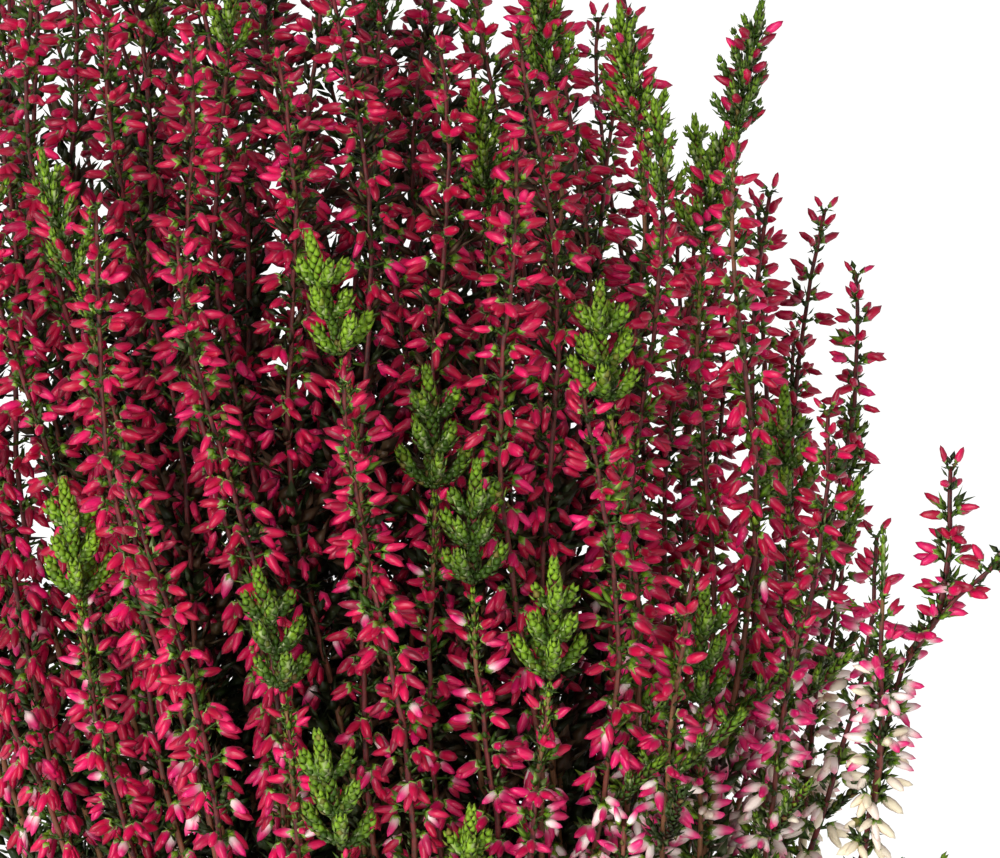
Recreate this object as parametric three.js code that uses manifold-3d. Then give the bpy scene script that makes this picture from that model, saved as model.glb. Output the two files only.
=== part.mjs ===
/**
 * Potted heather. A bush of slim upright flower spikes stands in a round plastic pot.
 *
 * Millimetres, +Z up. The origin is the centre of the pot's underside, and +X is the side that the long
 * stray branch leans to.
 *
 * Every spike follows one rule. Its head stands on a point of a sunflower lattice, the heads are gathered
 * in sprays round the points of a coarser lattice, and all stems of a spray run together from one hole in
 * the soil to a fork. The whole bundle widens with height by one formula, so stems never cross.
 * A spike's surface is a twisted three-sided core whose faces are raised to buds or leaves, and each
 * stays on its own side of the middle between two stems.
 */
import * as THREE from 'three';
import { mergeVertices } from 'three/addons/utils/BufferGeometryUtils.js';
import Module from 'manifold-3d';

const wasm = await Module();
wasm.setup();

// Pot
const POT_HEIGHT = 108;
const POT_FOOT_RADIUS = 46;
const POT_TOP_RADIUS = 61;
const POT_WALL = 2;
const POT_EDGE = 1.5;
const RIM_RADIUS = 65.5;
const RIM_DEPTH = 13;
const FLOOR_THICKNESS = 2.5;
const DRAIN_COUNT = 5;
const DRAIN_RADIUS = 4;
const DRAIN_CIRCLE = 27;
const DRAIN_SIDES = 6;
const POT_SIDES = 28;

// Soil
const SOIL_LEVEL = 99;
const SOIL_FALL = 3; // drop of the soil from the middle to the wall
const SOIL_CRUMB = 1.1; // height of its crumbs, and their spacing below
const SOIL_CRUMB_X = 3.1;
const SOIL_CRUMB_Y = 2.7;
const HOLE_DEPTH = 15;
const HOLE_SIDES = 5;
const HOLE_RADIUS = 2.8;
const FIT_GAP = 0.3;

// Bush
const SPIKES = 108;
const SPRAYS = 32;
const BUSH_RADIUS = 110;
const BUSH_REACH = 262; // height above the soil at which the bundle has its full width
const BUSH_TOP = 358;
const CROWN_FALL = 84; // drop of the crown at its shoulder
const CROWN_SHOULDER = 100; // distance of that shoulder from the crown's middle
const CROWN_MIDDLE = -12; // how far right of the axis that middle is
const CROWN_BACK = 16; // and how far behind it
const CROWN_ACROSS = 0.9; // share by which a distance to the right or left counts
const CROWN_DEEP = 0.98; // and one to the front or back
const CROWN_POWER = 3.4;
const CROWN_TILT = 0.12; // drop of the crown per mm to the right
const CROWN_ROUGH = 26;
const CROWN_GAP = { x: 48, half: 8, top: 290 }; // notch that short spikes leave in it
const SOIL_SPREAD = 0.44; // width of the bundle at the soil, as a share of the full width
const EVEN_SPREAD = 0.2; // share of the width that is gained evenly with height
const SPREAD_POWER = 4; // how soon the rest of it is gained
const FORK_AT = 0.09; // height share at which the stems of the outermost spray part
const FORK_RISE = 0.11; // how much later they part in the middle of the bush
const FORK_TO_APART = 0.17; // height share from the fork to where they are fully apart
const FORK_EASE = 2.5;
const SWAY = 12; // lean of the whole bush at its full height
const SPLAY = 12; // extra lean of its outermost stems
const SPLAY_POWER = 5;
const DRIFT = 2.6; // how far neighbouring stems wander together, in waves as long as given below
const DRIFT_X = { across: 34, up: 47, start: 0 };
const DRIFT_Y = { across: 31, up: -53, start: 1.3 };
const OWN_WAY = 2.9; // how far each stem wanders on its own above its fork, in waves as long as given below
const OWN_WAY_UP = 21;
const OWN_WAY_LOW = 0.45; // share of that at the soil, to which the height share is added
const GOLDEN_ANGLE = Math.PI * (3 - Math.sqrt(5));

// Spikes
const STEM_RADIUS = 1.9;
const TWIG_RADIUS = 1.3;
const CORE_RADIUS = 1.8;
const END_RADIUS = 1.0;
const FORK_ROOT = 1.5; // how far below the fork a side stem starts inside its spray's stem
const FORK_BEND = 15; // height above the fork at which a side stem has turned up
const BARE_FORK = 22; // bare length above a fork
const BUD_REACH = 7.3;
const BUD_RISE = 3; // how far the top buds point up
const BUD_DROOP = 6; // how much further down the lowest ones point
const BUD_CROWDING = 1.35; // how much closer the rings of buds are near the top
const YOUNG_SHARE = 0.75; // size of the top ring of buds
const REACH_LEAST = 0.84; // shortest bud, as a share of its reach
const REACH_VARIES = 0.3;
const RISE_VARIES = 2.4;
const PEAK_STEP = 0.4; // steps in which a bud is shortened to keep clear of the next stem
const PEAK_CLEAR = 0.9;
const PEAK_LEAST = 0.4; // how far the shortest one stands out of its core
const BUD_ZONE = 150;
const BUD_STEP = 38; // length of a ring of buds in the middle of the bush
const BUD_STEP_OUTSIDE = 27; // and on its outside
const STEM_STEP = 75;

// Green growth, each with the radius of its core, the reach of its leaves and their rise along it
const TIP = { length: 25, rings: 5, core: 1.7, reach: 6.6, rise: 4 };
const TOP = { length: 18, rings: 3, core: 1.6, reach: 5.4, rise: 4 };
const TOP_SHARE = 0.22; // share of the other spikes that end in green leaves
const LEAF_TAPER = 0.55; // how much the growth narrows towards its end
const SHOOTS = 8;
const SHOOT = { foot: 52.5, length: 60, rings: 7, core: 1.8, reach: 8.5, rise: 6, lean: 0.84, ease: 12 };
const SHOOT_VARIES = { length: 18, lean: 0.14 };
const SHOOT_TRIES = [0.2, 0.3, 0.4, 0.5, 0.6, 0.7, 0.8]; // places that a shoot tries, as shares of its sector
const SHOOT_LEVELS = [0, 20, 40, 60]; // heights above the soil at which a place has to have room

// Heads that stand out from the crown: distance to the right of the axis, height of the top, and its kind
const SHOWN_HEADS = [
  [33, 288, 'tip'], [14, 256, 'tip'], [24, 239, 'tip'], [-34, 237, 'tip'], [-26, 209, 'tip'],
  [2, 272, 'tip'], [11, 324, 'tip'], [22, 348, 'tip'], [17, 193, 'tip'], [-17, 298, 'tip'],
  [-72, 312, 'tip'], [70, 264, 'tip'], [56, 317, 'tip'], [39, 339, 'tip'], [-66, 251, 'tip'],
  [52, 230, 'tip'], [61, 340, 'tip'],
  [86, 285, 'low'], [87, 236, 'low'], [-51, 253, 'low'], [79, 296, 'low'], [77, 262, 'low'],
];
const SHOWN_SHIFT = 4.5; // how far such a head may stand off its lattice point
const SHOWN_COST = { slack: 18, height: 0.35, back: 0.2 }; // weight of a wrong height and of a place behind

// Long stray branch: it rises past the rim, stands nearly upright and then leans out to the right
const STRAY = {
  x: 34,
  y: -30,
  out: 50, // how far it swings out to the right, settling within the height below
  settle: 35,
  slope: 0.05,
  forward: 32,
  forwardSettle: 50,
  from: 150,
  bend: 222,
  ease: 6,
  lean: 1.3,
  top: 243,
};
const STRAY_SPIKES = [
  { from: 219, top: 254, ease: 5, back: 0 },
  { from: 190, top: 241, ease: 0.5, back: -9 },
];
const STRAY_BUDS = { end: 'plain', bare: 8, step: 13 };
const STRAY_PART = 12; // height within which a side spike moves back or forward from the branch

// Finishes
const FINISH = {
  pot: new THREE.MeshStandardMaterial({ name: 'pot', color: 0x2b2d2c, roughness: 0.5, metalness: 0 }),
  soil: new THREE.MeshStandardMaterial({ name: 'soil', color: 0x2a1c14, roughness: 1, metalness: 0 }),
  buds: new THREE.MeshStandardMaterial({ name: 'buds', color: 0xb8123f, roughness: 0.5, metalness: 0 }),
  leaves: new THREE.MeshStandardMaterial({ name: 'leaves', color: 0x6c8a2a, roughness: 0.6, metalness: 0 }),
};

/** A steady draw in 0..1 for item i and purpose k. */
function chance(i, k) {
  let n = (Math.imul(i + 7, 374761393) + Math.imul(k + 1, 668265263)) >>> 0;
  n = Math.imul(n ^ (n >>> 13), 1274126177) >>> 0;
  return ((n ^ (n >>> 16)) >>> 0) / 4294967296;
}

/** Point i of a sunflower lattice of count points inside a radius. */
function latticePoint(i, count, radius) {
  const r = radius * Math.sqrt((i + 0.5) / count);
  return new THREE.Vector2(r * Math.cos(i * GOLDEN_ANGLE), r * Math.sin(i * GOLDEN_ANGLE));
}

/** Width of the bundle, as a share of its full width, at the height share u. */
function spread(u) {
  const late = 1 - SOIL_SPREAD - EVEN_SPREAD;
  return SOIL_SPREAD + EVEN_SPREAD * u + late * (1 - Math.pow(1 - Math.min(u, 1), SPREAD_POWER));
}

/** Height share at which the stems of the spray with this centre part. */
function forkShare(centre) {
  return FORK_AT + FORK_RISE * (1 - centre.length() / BUSH_RADIUS);
}

/** Place at height z of stem i, whose spray centre and head are given at the bundle's full width. */
function stemPoint(i, centre, head, z) {
  const u = Math.max(0, (z - SOIL_LEVEL) / BUSH_REACH);
  const past = THREE.MathUtils.clamp((u - forkShare(centre)) / FORK_TO_APART, 0, 1);
  const apart = 1 - Math.pow(1 - past, FORK_EASE);
  const out = centre.clone().lerp(head, apart).multiplyScalar(spread(u));
  const share = out.length() / BUSH_RADIUS;
  out.multiplyScalar(1 + (SPLAY / BUSH_RADIUS) * Math.pow(share, SPLAY_POWER) * u);
  const wave = ({ across, up, start }, beside) => Math.sin(beside / across + z / up + start);
  const drift = DRIFT * Math.min(1, 3 * u);
  const x = out.x - SWAY * u * u + drift * wave(DRIFT_X, out.y);
  const y = out.y + drift * wave(DRIFT_Y, out.x);
  const far = OWN_WAY * apart * (OWN_WAY_LOW + u);
  const own = (k) => far * Math.sin(z / OWN_WAY_UP + 2 * Math.PI * chance(i, k));
  return new THREE.Vector3(x + own(5), y + own(6), z);
}

/** Height of the crown over a place at the bundle's full width, whose spike ends at x. */
function crownHeight(place, x) {
  const out = Math.hypot(CROWN_ACROSS * (place.x - CROWN_MIDDLE), CROWN_DEEP * (place.y - CROWN_BACK));
  const fall = CROWN_FALL * Math.pow(out / CROWN_SHOULDER, CROWN_POWER) + CROWN_TILT * place.x;
  const height = BUSH_TOP - fall;
  return Math.abs(x - CROWN_GAP.x) < CROWN_GAP.half ? Math.min(height, CROWN_GAP.top) : height;
}

/** All heads of the bush with their spray, height and kind of top. */
function planHeads() {
  const centres = [];
  for (let j = 0; j < SPRAYS; j += 1) {
    centres.push(latticePoint(j, SPRAYS, BUSH_RADIUS));
  }
  const heads = [];
  for (let i = 0; i < SPIKES; i += 1) {
    const place = latticePoint(i, SPIKES, BUSH_RADIUS);
    let spray = 0;
    for (let j = 1; j < SPRAYS; j += 1) {
      if (place.distanceTo(centres[j]) < place.distanceTo(centres[spray])) {
        spray = j;
      }
    }
    const route = (z) => stemPoint(i, centres[spray], place, z);
    heads.push({
      id: i,
      place,
      spray,
      side: place.distanceTo(centres[spray]),
      top: crownHeight(place, route(BUSH_TOP).x) + CROWN_ROUGH * (chance(i, 1) - 0.5),
      end: chance(i, 2) < TOP_SHARE ? 'leafy' : 'plain',
      from: SOIL_LEVEL + forkShare(centres[spray]) * BUSH_REACH,
      bare: BARE_FORK,
      step: THREE.MathUtils.lerp(BUD_STEP, BUD_STEP_OUTSIDE, place.length() / BUSH_RADIUS),
      route,
    });
  }
  SHOWN_HEADS.forEach(([x, top, end]) => {
    const offset = (head) => x - head.route(top - TIP.length / 2).x;
    const cost = (head) => Math.abs(offset(head))
      + SHOWN_COST.height * Math.max(0, Math.abs(head.top - top) - SHOWN_COST.slack)
      + SHOWN_COST.back * Math.max(0, head.place.y);
    const free = heads.filter((head) => head.end !== 'tip' && head.end !== 'low');
    const best = free.reduce((a, b) => (cost(b) < cost(a) ? b : a));
    best.place.x += THREE.MathUtils.clamp(offset(best), -SHOWN_SHIFT, SHOWN_SHIFT);
    Object.assign(best, { top, end });
  });
  return heads;
}

/** Routes of the stray branch and of its side spikes. */
function planStray() {
  const branch = (z) => {
    const rise = Math.max(0, z - SOIL_LEVEL);
    const past = rise > 0 ? STRAY.ease * Math.log1p(Math.exp((z - STRAY.bend) / STRAY.ease)) : 0;
    const out = STRAY.out * (1 - Math.exp(-rise / STRAY.settle)) + STRAY.slope * rise + STRAY.lean * past;
    const forward = STRAY.forward * (1 - Math.exp(-rise / STRAY.forwardSettle));
    return new THREE.Vector3(STRAY.x + out, STRAY.y - forward, z);
  };
  const side = ({ from, ease, back }) => (z) => {
    const p = branch(Math.min(z, from));
    if (z > from) {
      p.x += STRAY.lean * ease * (1 - Math.exp((from - z) / ease));
      p.y += back * (1 - Math.exp((from - z) / STRAY_PART));
      p.z = z;
    }
    return p;
  };
  const spikes = [{ top: STRAY.top, from: STRAY.from, route: branch }];
  STRAY_SPIKES.forEach((spike) => spikes.push({ ...spike, route: side(spike) }));
  return spikes.map((spike, k) => ({ id: 300 + k, ...spike, ...STRAY_BUDS }));
}

/** Routes of the low leafy shoots round the rim, each where the stems leave most room. */
function planShoots(stems) {
  const levels = SHOOT_LEVELS.map((level) => SOIL_LEVEL + level);
  const places = levels.flatMap((z) => stems.map((stem) => stem.route(z)));
  const shoots = [];
  for (let k = 0; k < SHOOTS; k += 1) {
    const lean = SHOOT.lean + SHOOT_VARIES.lean * (chance(k, 41) - 0.5);
    const at = (turn, z) => {
      const rise = Math.max(0, z - SOIL_LEVEL);
      const r = SHOOT.foot + (lean * rise * rise) / (rise + SHOOT.ease);
      return new THREE.Vector3(r * Math.cos(turn), r * Math.sin(turn), z);
    };
    const room = (turn) => Math.min(...levels.flatMap((z) => places.map((p) => p.distanceTo(at(turn, z)))));
    const tries = SHOOT_TRIES.map((part) => ((k + part) * 2 * Math.PI) / SHOOTS);
    const turn = tries.reduce((a, b) => (room(b) > room(a) ? b : a));
    const route = (z) => at(turn, z);
    const top = SOIL_LEVEL + SHOOT.length + SHOOT_VARIES.length * chance(k, 42);
    shoots.push({ id: 400 + k, top, route });
  }
  return shoots;
}

const heads = planHeads();
const stray = planStray();
const shoots = planShoots([...heads, ...stray]);

// Points along every stem, sorted by height, so that a bud can tell the nearest other stem
const SAMPLE_STEP = 2;
const SAMPLE_LAYERS = 5; // layers looked at above and below a bud
const stemSamples = new Map();
[...heads, ...stray, ...shoots].forEach(({ id, top, route }) => {
  for (let z = SOIL_LEVEL - HOLE_DEPTH; z <= top + SAMPLE_STEP; z += SAMPLE_STEP) {
    const layer = Math.round(z / SAMPLE_STEP);
    const list = stemSamples.get(layer) ?? [];
    list.push({ id, p: route(z) });
    stemSamples.set(layer, list);
  }
});

/** Distance from a point to the nearest stem other than the one with this id. */
function distanceToOthers(point, id) {
  const layer = Math.round(point.z / SAMPLE_STEP);
  let nearest = Infinity;
  for (let k = layer - SAMPLE_LAYERS; k <= layer + SAMPLE_LAYERS; k += 1) {
    (stemSamples.get(k) ?? []).forEach((sample) => {
      if (sample.id !== id) {
        nearest = Math.min(nearest, sample.p.distanceTo(point));
      }
    });
  }
  return nearest;
}

/** The peak of a raised face: as far out as its reach, but on its own stem's side of the middle. */
function peakOf(axis, out, reach, rise, id) {
  for (let length = reach; length > CORE_RADIUS + PEAK_LEAST; length -= PEAK_STEP) {
    const peak = axis.clone().addScaledVector(out, length);
    peak.z += rise * (length / reach);
    if (distanceToOthers(peak, id) > length + PEAK_CLEAR) {
      return peak;
    }
  }
  return axis.clone().addScaledVector(out, CORE_RADIUS + PEAK_LEAST);
}

/**
 * A twisted three-sided rod along a stem. Each ring is [height, radius, reach, rise], and where it has a
 * reach, the faces from it to the next ring are raised to peaks that far out and that much higher.
 */
function raisedRod({ id, route }, rings) {
  const points = [];
  const faces = [];
  const centres = rings.map(([z]) => route(z));
  rings.forEach(([z, radius], k) => {
    const along = route(z + 1).sub(route(z - 1)).normalize();
    const side = new THREE.Vector3(1, 0, 0).addScaledVector(along, -along.x).normalize();
    const other = along.cross(side);
    for (let j = 0; j < 3; j += 1) {
      const angle = id + ((k + 2 * j) * Math.PI) / 3;
      const point = centres[k].clone().addScaledVector(side, radius * Math.cos(angle));
      points.push(point.addScaledVector(other, radius * Math.sin(angle)));
    }
  });
  const addFace = (a, b, c, k) => {
    const [, , reach, rise] = rings[k];
    if (!reach) {
      faces.push([a, b, c]);
      return;
    }
    const foot = points[a].clone().add(points[b]).add(points[c]).divideScalar(3);
    const step = centres[k + 1].clone().sub(centres[k]);
    const share = foot.clone().sub(centres[k]).dot(step) / step.lengthSq();
    const axis = centres[k].clone().addScaledVector(step, share);
    const out = foot.sub(axis).normalize();
    const length = reach * (REACH_LEAST + REACH_VARIES * chance(id, faces.length));
    const lift = rise + RISE_VARIES * (chance(id, faces.length + 1) - 0.5);
    const peak = points.push(peakOf(axis, out, length, lift, id)) - 1;
    faces.push([a, b, peak], [b, c, peak], [c, a, peak]);
  };
  for (let k = 0; k + 1 < rings.length; k += 1) {
    for (let j = 0; j < 3; j += 1) {
      const low = 3 * k + j;
      const next = 3 * k + ((j + 1) % 3);
      addFace(low, next, low + 3, k);
      addFace(next, next + 3, low + 3, k);
    }
  }
  const last = 3 * (rings.length - 1);
  faces.push([0, 2, 1], [last, last + 1, last + 2]);
  const geometry = new THREE.BufferGeometry();
  geometry.setAttribute('position', new THREE.Float32BufferAttribute(points.flatMap((p) => [...p]), 3));
  geometry.setIndex(faces.flat());
  return geometry;
}

/** Closed geometry to solid. */
function solidOf(geometry) {
  const bare = geometry.clone();
  bare.deleteAttribute('normal');
  bare.deleteAttribute('uv');
  const merged = mergeVertices(bare, 1e-4);
  return new wasm.Manifold(new wasm.Mesh({
    numProp: 3,
    vertProperties: new Float32Array(merged.attributes.position.array),
    triVerts: new Uint32Array(merged.index.array),
  }));
}

/** Solid back to geometry. */
function geometryOf(solid) {
  const mesh = solid.getMesh();
  const geometry = new THREE.BufferGeometry();
  geometry.setAttribute('position', new THREE.BufferAttribute(mesh.vertProperties, 3));
  geometry.setIndex(new THREE.BufferAttribute(mesh.triVerts, 1));
  return geometry;
}

/** Rings of green growth between two heights. */
function leafyRings(from, to, { rings, core, reach, rise }) {
  const list = [];
  for (let k = 0; k <= rings; k += 1) {
    const share = k / rings;
    const slim = 1 - LEAF_TAPER * share * share;
    list.push([THREE.MathUtils.lerp(from, to, share), core * slim, reach * slim, rise]);
  }
  return list;
}

/** A head's rod: bare stem from the soil or from the fork, buds, and its end. */
function spikeRod(head, fromSoil) {
  const green = { plain: 0, low: 0, leafy: TOP.length, tip: TIP.length }[head.end];
  const end = head.top - green;
  const zone = Math.min(BUD_ZONE - green, end - head.from - head.bare);
  const bend = head.from + Math.min(FORK_BEND, head.bare / 2);
  const rings = fromSoil
    ? [[SOIL_LEVEL - HOLE_DEPTH + FIT_GAP, STEM_RADIUS], [SOIL_LEVEL, STEM_RADIUS], [head.from, STEM_RADIUS]]
    : [[head.from - FORK_ROOT, TWIG_RADIUS / 2], [bend, TWIG_RADIUS]];
  if (end - zone - bend > STEM_STEP) {
    rings.push([(end - zone + bend) / 2, TWIG_RADIUS]);
  }
  const budRings = Math.max(2, Math.round(zone / head.step));
  for (let k = 0; k < budRings; k += 1) {
    const below = Math.pow((budRings - k) / budRings, BUD_CROWDING);
    const young = k === budRings - 1 ? YOUNG_SHARE : 1;
    rings.push([end - zone * below, CORE_RADIUS * young, BUD_REACH * young, BUD_RISE - BUD_DROOP * below]);
  }
  rings.push(...(head.end === 'leafy' ? leafyRings(end, head.top, TOP) : [[end, END_RADIUS]]));
  return raisedRod(head, rings);
}

/** A spray: its first spike from the soil up, and the others from their fork up, fused into it. */
function sprayGeometry(members) {
  let solid = solidOf(spikeRod(members[0], true));
  members.slice(1).forEach((head) => {
    solid = solid.add(solidOf(spikeRod(head, false)));
  });
  return geometryOf(solid);
}

/** The pot's inner radius at height z. */
function potInside(z) {
  return THREE.MathUtils.lerp(POT_FOOT_RADIUS, POT_TOP_RADIUS, z / POT_HEIGHT) - POT_WALL;
}

/** Thin tapered wall with a rim band, closed by a flat floor with drainage holes. */
function potGeometry() {
  const band = POT_HEIGHT - RIM_DEPTH;
  const inside = potInside(FLOOR_THICKNESS);
  const profile = [
    [0, 0],
    [POT_FOOT_RADIUS - POT_EDGE, 0],
    [POT_FOOT_RADIUS, POT_EDGE],
    [potInside(band) + POT_WALL, band],
    [RIM_RADIUS - POT_EDGE, band],
    [RIM_RADIUS - POT_EDGE / 2, band + POT_EDGE],
    [RIM_RADIUS, POT_HEIGHT - POT_EDGE],
    [RIM_RADIUS - POT_EDGE, POT_HEIGHT],
    [RIM_RADIUS - POT_EDGE - POT_WALL, POT_HEIGHT - POT_EDGE / 2],
    [potInside(POT_HEIGHT - RIM_DEPTH / 3), POT_HEIGHT - RIM_DEPTH / 3],
    [inside, FLOOR_THICKNESS],
    [0, FLOOR_THICKNESS],
  ].map(([r, z]) => new THREE.Vector2(r, z));
  let solid = solidOf(new THREE.LatheGeometry(profile, POT_SIDES).rotateX(Math.PI / 2));
  for (let k = 0; k < DRAIN_COUNT; k += 1) {
    const turn = (k * 2 * Math.PI) / DRAIN_COUNT;
    const drain = new THREE.CylinderGeometry(DRAIN_RADIUS, DRAIN_RADIUS, 4 * FLOOR_THICKNESS, DRAIN_SIDES);
    drain.rotateX(Math.PI / 2);
    drain.translate(DRAIN_CIRCLE * Math.cos(turn), DRAIN_CIRCLE * Math.sin(turn), 0);
    solid = solid.subtract(solidOf(drain));
  }
  return geometryOf(solid);
}

/** Soil that fills the pot, with a crumbled top and a hole for each stem. */
function soilGeometry(feet) {
  const bottom = FLOOR_THICKNESS + FIT_GAP;
  const edge = SOIL_LEVEL - SOIL_FALL;
  const flat = Math.cos(Math.PI / POT_SIDES);
  const slack = FIT_GAP / flat + potInside(edge) * (1 - flat);
  const profile = [
    [0, bottom],
    [potInside(bottom) - slack, bottom],
    [potInside(edge) - slack, edge],
    [potInside(edge) * 0.7, SOIL_LEVEL - SOIL_FALL / 2],
    [potInside(edge) * 0.35, SOIL_LEVEL - SOIL_FALL / 6],
    [0, SOIL_LEVEL],
  ].map(([r, z]) => new THREE.Vector2(r, z));
  const geometry = new THREE.LatheGeometry(profile, POT_SIDES).rotateX(Math.PI / 2);
  const position = geometry.attributes.position;
  for (let k = 0; k < position.count; k += 1) {
    const [x, y, z] = [position.getX(k), position.getY(k), position.getZ(k)];
    const crumb = SOIL_CRUMB * Math.sin(x / SOIL_CRUMB_X + 1) * Math.sin(y / SOIL_CRUMB_Y + 2);
    position.setZ(k, z > SOIL_LEVEL / 2 ? z - SOIL_CRUMB + crumb : z);
  }
  let solid = solidOf(geometry);
  feet.forEach((foot) => {
    const hole = new THREE.CylinderGeometry(HOLE_RADIUS, HOLE_RADIUS, 2 * HOLE_DEPTH, HOLE_SIDES);
    solid = solid.subtract(solidOf(hole.rotateX(Math.PI / 2).translate(foot.x, foot.y, SOIL_LEVEL)));
  });
  return geometryOf(solid);
}

const group = new THREE.Group();

/** Adds a named mesh to the group. */
function addPiece(name, geometry, material) {
  const mesh = new THREE.Mesh(geometry, material);
  mesh.name = name;
  group.add(mesh);
}

/** A name with its two-digit number. */
function numbered(name, k) {
  return `${name}_${String(k + 1).padStart(2, '0')}`;
}

const feet = [];

for (let j = 0; j < SPRAYS; j += 1) {
  const members = heads.filter((head) => head.spray === j).sort((a, b) => a.side - b.side);
  addPiece(numbered('spray', j), sprayGeometry(members), FINISH.buds);
  feet.push(members[0].route(SOIL_LEVEL));
}
addPiece('stray_spray', sprayGeometry(stray), FINISH.buds);
feet.push(stray[0].route(SOIL_LEVEL));

heads.filter((head) => head.end === 'tip').forEach((head, k) => {
  const rings = leafyRings(head.top - TIP.length + FIT_GAP, head.top, TIP);
  addPiece(numbered('leafy_tip', k), raisedRod(head, rings), FINISH.leaves);
});

shoots.forEach((shoot, k) => {
  const stem = [[SOIL_LEVEL - HOLE_DEPTH + FIT_GAP, STEM_RADIUS], [SOIL_LEVEL, STEM_RADIUS]];
  const rings = [...stem, ...leafyRings(POT_HEIGHT + SHOOT.reach, shoot.top, SHOOT)];
  addPiece(numbered('leafy_shoot', k), raisedRod(shoot, rings), FINISH.leaves);
  feet.push(shoot.route(SOIL_LEVEL));
});

addPiece('pot', potGeometry(), FINISH.pot);
addPiece('soil', soilGeometry(feet), FINISH.soil);

export default group;
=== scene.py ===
"""Potted heather: its looks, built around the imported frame.

A bud-blooming heather stands in a round nursery pot. Lengths are millimetres in the part's own frame, +Z up,
until a mesh is written, where MM turns them to metres.
"""

import logging
import math
from collections.abc import Callable, Sequence
from dataclasses import dataclass, field
from enum import Enum, IntEnum

import bpy
import numpy as np
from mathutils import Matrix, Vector


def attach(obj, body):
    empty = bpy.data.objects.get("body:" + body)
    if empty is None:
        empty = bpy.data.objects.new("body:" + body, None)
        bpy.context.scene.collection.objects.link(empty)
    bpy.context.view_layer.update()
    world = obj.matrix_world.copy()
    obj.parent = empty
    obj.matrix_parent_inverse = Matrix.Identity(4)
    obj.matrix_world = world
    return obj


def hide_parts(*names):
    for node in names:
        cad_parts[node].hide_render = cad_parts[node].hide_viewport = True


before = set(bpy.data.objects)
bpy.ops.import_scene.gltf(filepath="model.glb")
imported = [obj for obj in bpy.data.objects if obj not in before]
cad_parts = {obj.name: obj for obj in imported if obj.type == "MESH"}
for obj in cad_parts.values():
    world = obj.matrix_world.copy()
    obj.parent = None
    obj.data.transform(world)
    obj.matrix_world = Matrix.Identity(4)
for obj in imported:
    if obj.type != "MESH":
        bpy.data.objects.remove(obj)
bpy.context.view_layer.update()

Array = np.ndarray
Route = Callable[[Array], Array]

MM = 0.001
BODY = "root"
TONE = "tone"  # each corner's own place along, nearness of an edge, shade and age
BAKE_MAP = "OFBake"
GOLDEN_ANGLE = math.pi * (3 - math.sqrt(5))
UP = np.array([0.0, 0.0, 1.0])
POT_HEIGHT = 108.0
SOIL_LEVEL = 99.0
TIP_LENGTH = 25.0  # of a green tip that is a piece of its own
log = logging.getLogger("heather")


# ---------------------------------------------------------------- layout of the bush


class End(Enum):
    """What a flower spike ends in."""

    PLAIN = "plain"
    LOW = "low"
    FINE = "fine"
    LEAFY = "leafy"
    TIP = "tip"


class Draw(IntEnum):
    """What a steady draw is for."""

    HEIGHT = 1
    KIND = 2
    WAY_ACROSS = 5
    WAY_DEEP = 6
    LEAN = 41
    LENGTH = 42
    TINT = 60


@dataclass(frozen=True)
class Bundle:
    """The bundle of stems: how it widens out of the soil and where its stems part."""

    radius: float = 110.0
    reach: float = 262.0
    soil_spread: float = 0.44
    even_spread: float = 0.2
    spread_power: float = 4.0
    fork_at: float = 0.09
    fork_rise: float = 0.11
    fork_to_apart: float = 0.17
    fork_ease: float = 2.5
    sway: float = 12.0
    splay: float = 12.0
    splay_power: float = 5.0
    drift: float = 2.6
    drift_x: tuple[float, float, float] = (34.0, 47.0, 0.0)  # waves across, waves up, and where they start
    drift_y: tuple[float, float, float] = (31.0, -53.0, 1.3)
    own_way: float = 2.9
    own_way_up: float = 21.0
    own_way_low: float = 0.45

    def spread(self, u: Array) -> Array:
        """Width of the bundle as a share of its full width, at the height shares u."""
        late = 1 - self.soil_spread - self.even_spread
        opened = 1 - (1 - np.minimum(u, 1)) ** self.spread_power
        return self.soil_spread + self.even_spread * u + late * opened

    def fork_share(self, centre: Array) -> float:
        """Height share at which the stems of the spray with this centre part."""
        return self.fork_at + self.fork_rise * (1 - math.hypot(*centre) / self.radius)

    def stem(self, number: int, centre: Array, head: Array, z: Array) -> Array:
        """Places along one stem.

        Args:
            number: The stem's number.
            centre: Centre of its spray, at the bundle's full width.
            head: The stem's own place, at the bundle's full width.
            z: Heights.

        Returns:
            One point for each height.
        """
        z = np.atleast_1d(np.asarray(z, float))
        u = np.maximum(0, (z - SOIL_LEVEL) / self.reach)
        past = np.clip((u - self.fork_share(centre)) / self.fork_to_apart, 0, 1)
        apart = 1 - (1 - past) ** self.fork_ease
        out = (centre + (head - centre) * apart[:, None]) * self.spread(u)[:, None]
        share = np.hypot(out[:, 0], out[:, 1]) / self.radius
        out = out * (1 + (self.splay / self.radius) * share**self.splay_power * u)[:, None]
        drift = self.drift * np.minimum(1, 3 * u)
        waves = [
            np.sin(beside / across + z / up + start)
            for beside, (across, up, start) in ((out[:, 1], self.drift_x), (out[:, 0], self.drift_y))
        ]
        x = out[:, 0] - self.sway * u * u + drift * waves[0]
        y = out[:, 1] + drift * waves[1]
        far = self.own_way * apart * (self.own_way_low + u)
        own = [far * np.sin(z / self.own_way_up + 2 * math.pi * chance(number, draw))
               for draw in (Draw.WAY_ACROSS, Draw.WAY_DEEP)]
        return np.column_stack([x + own[0], y + own[1], z])


@dataclass
class Spike:
    """One flower spike or shoot: its number, ends, kind and route."""

    number: int
    top: float
    start: float
    route: Route
    end: End = End.PLAIN
    bare: float = 22.0
    spray: int = -1
    side: float = 0.0
    place: Array = field(default_factory=lambda: np.zeros(2))


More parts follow.
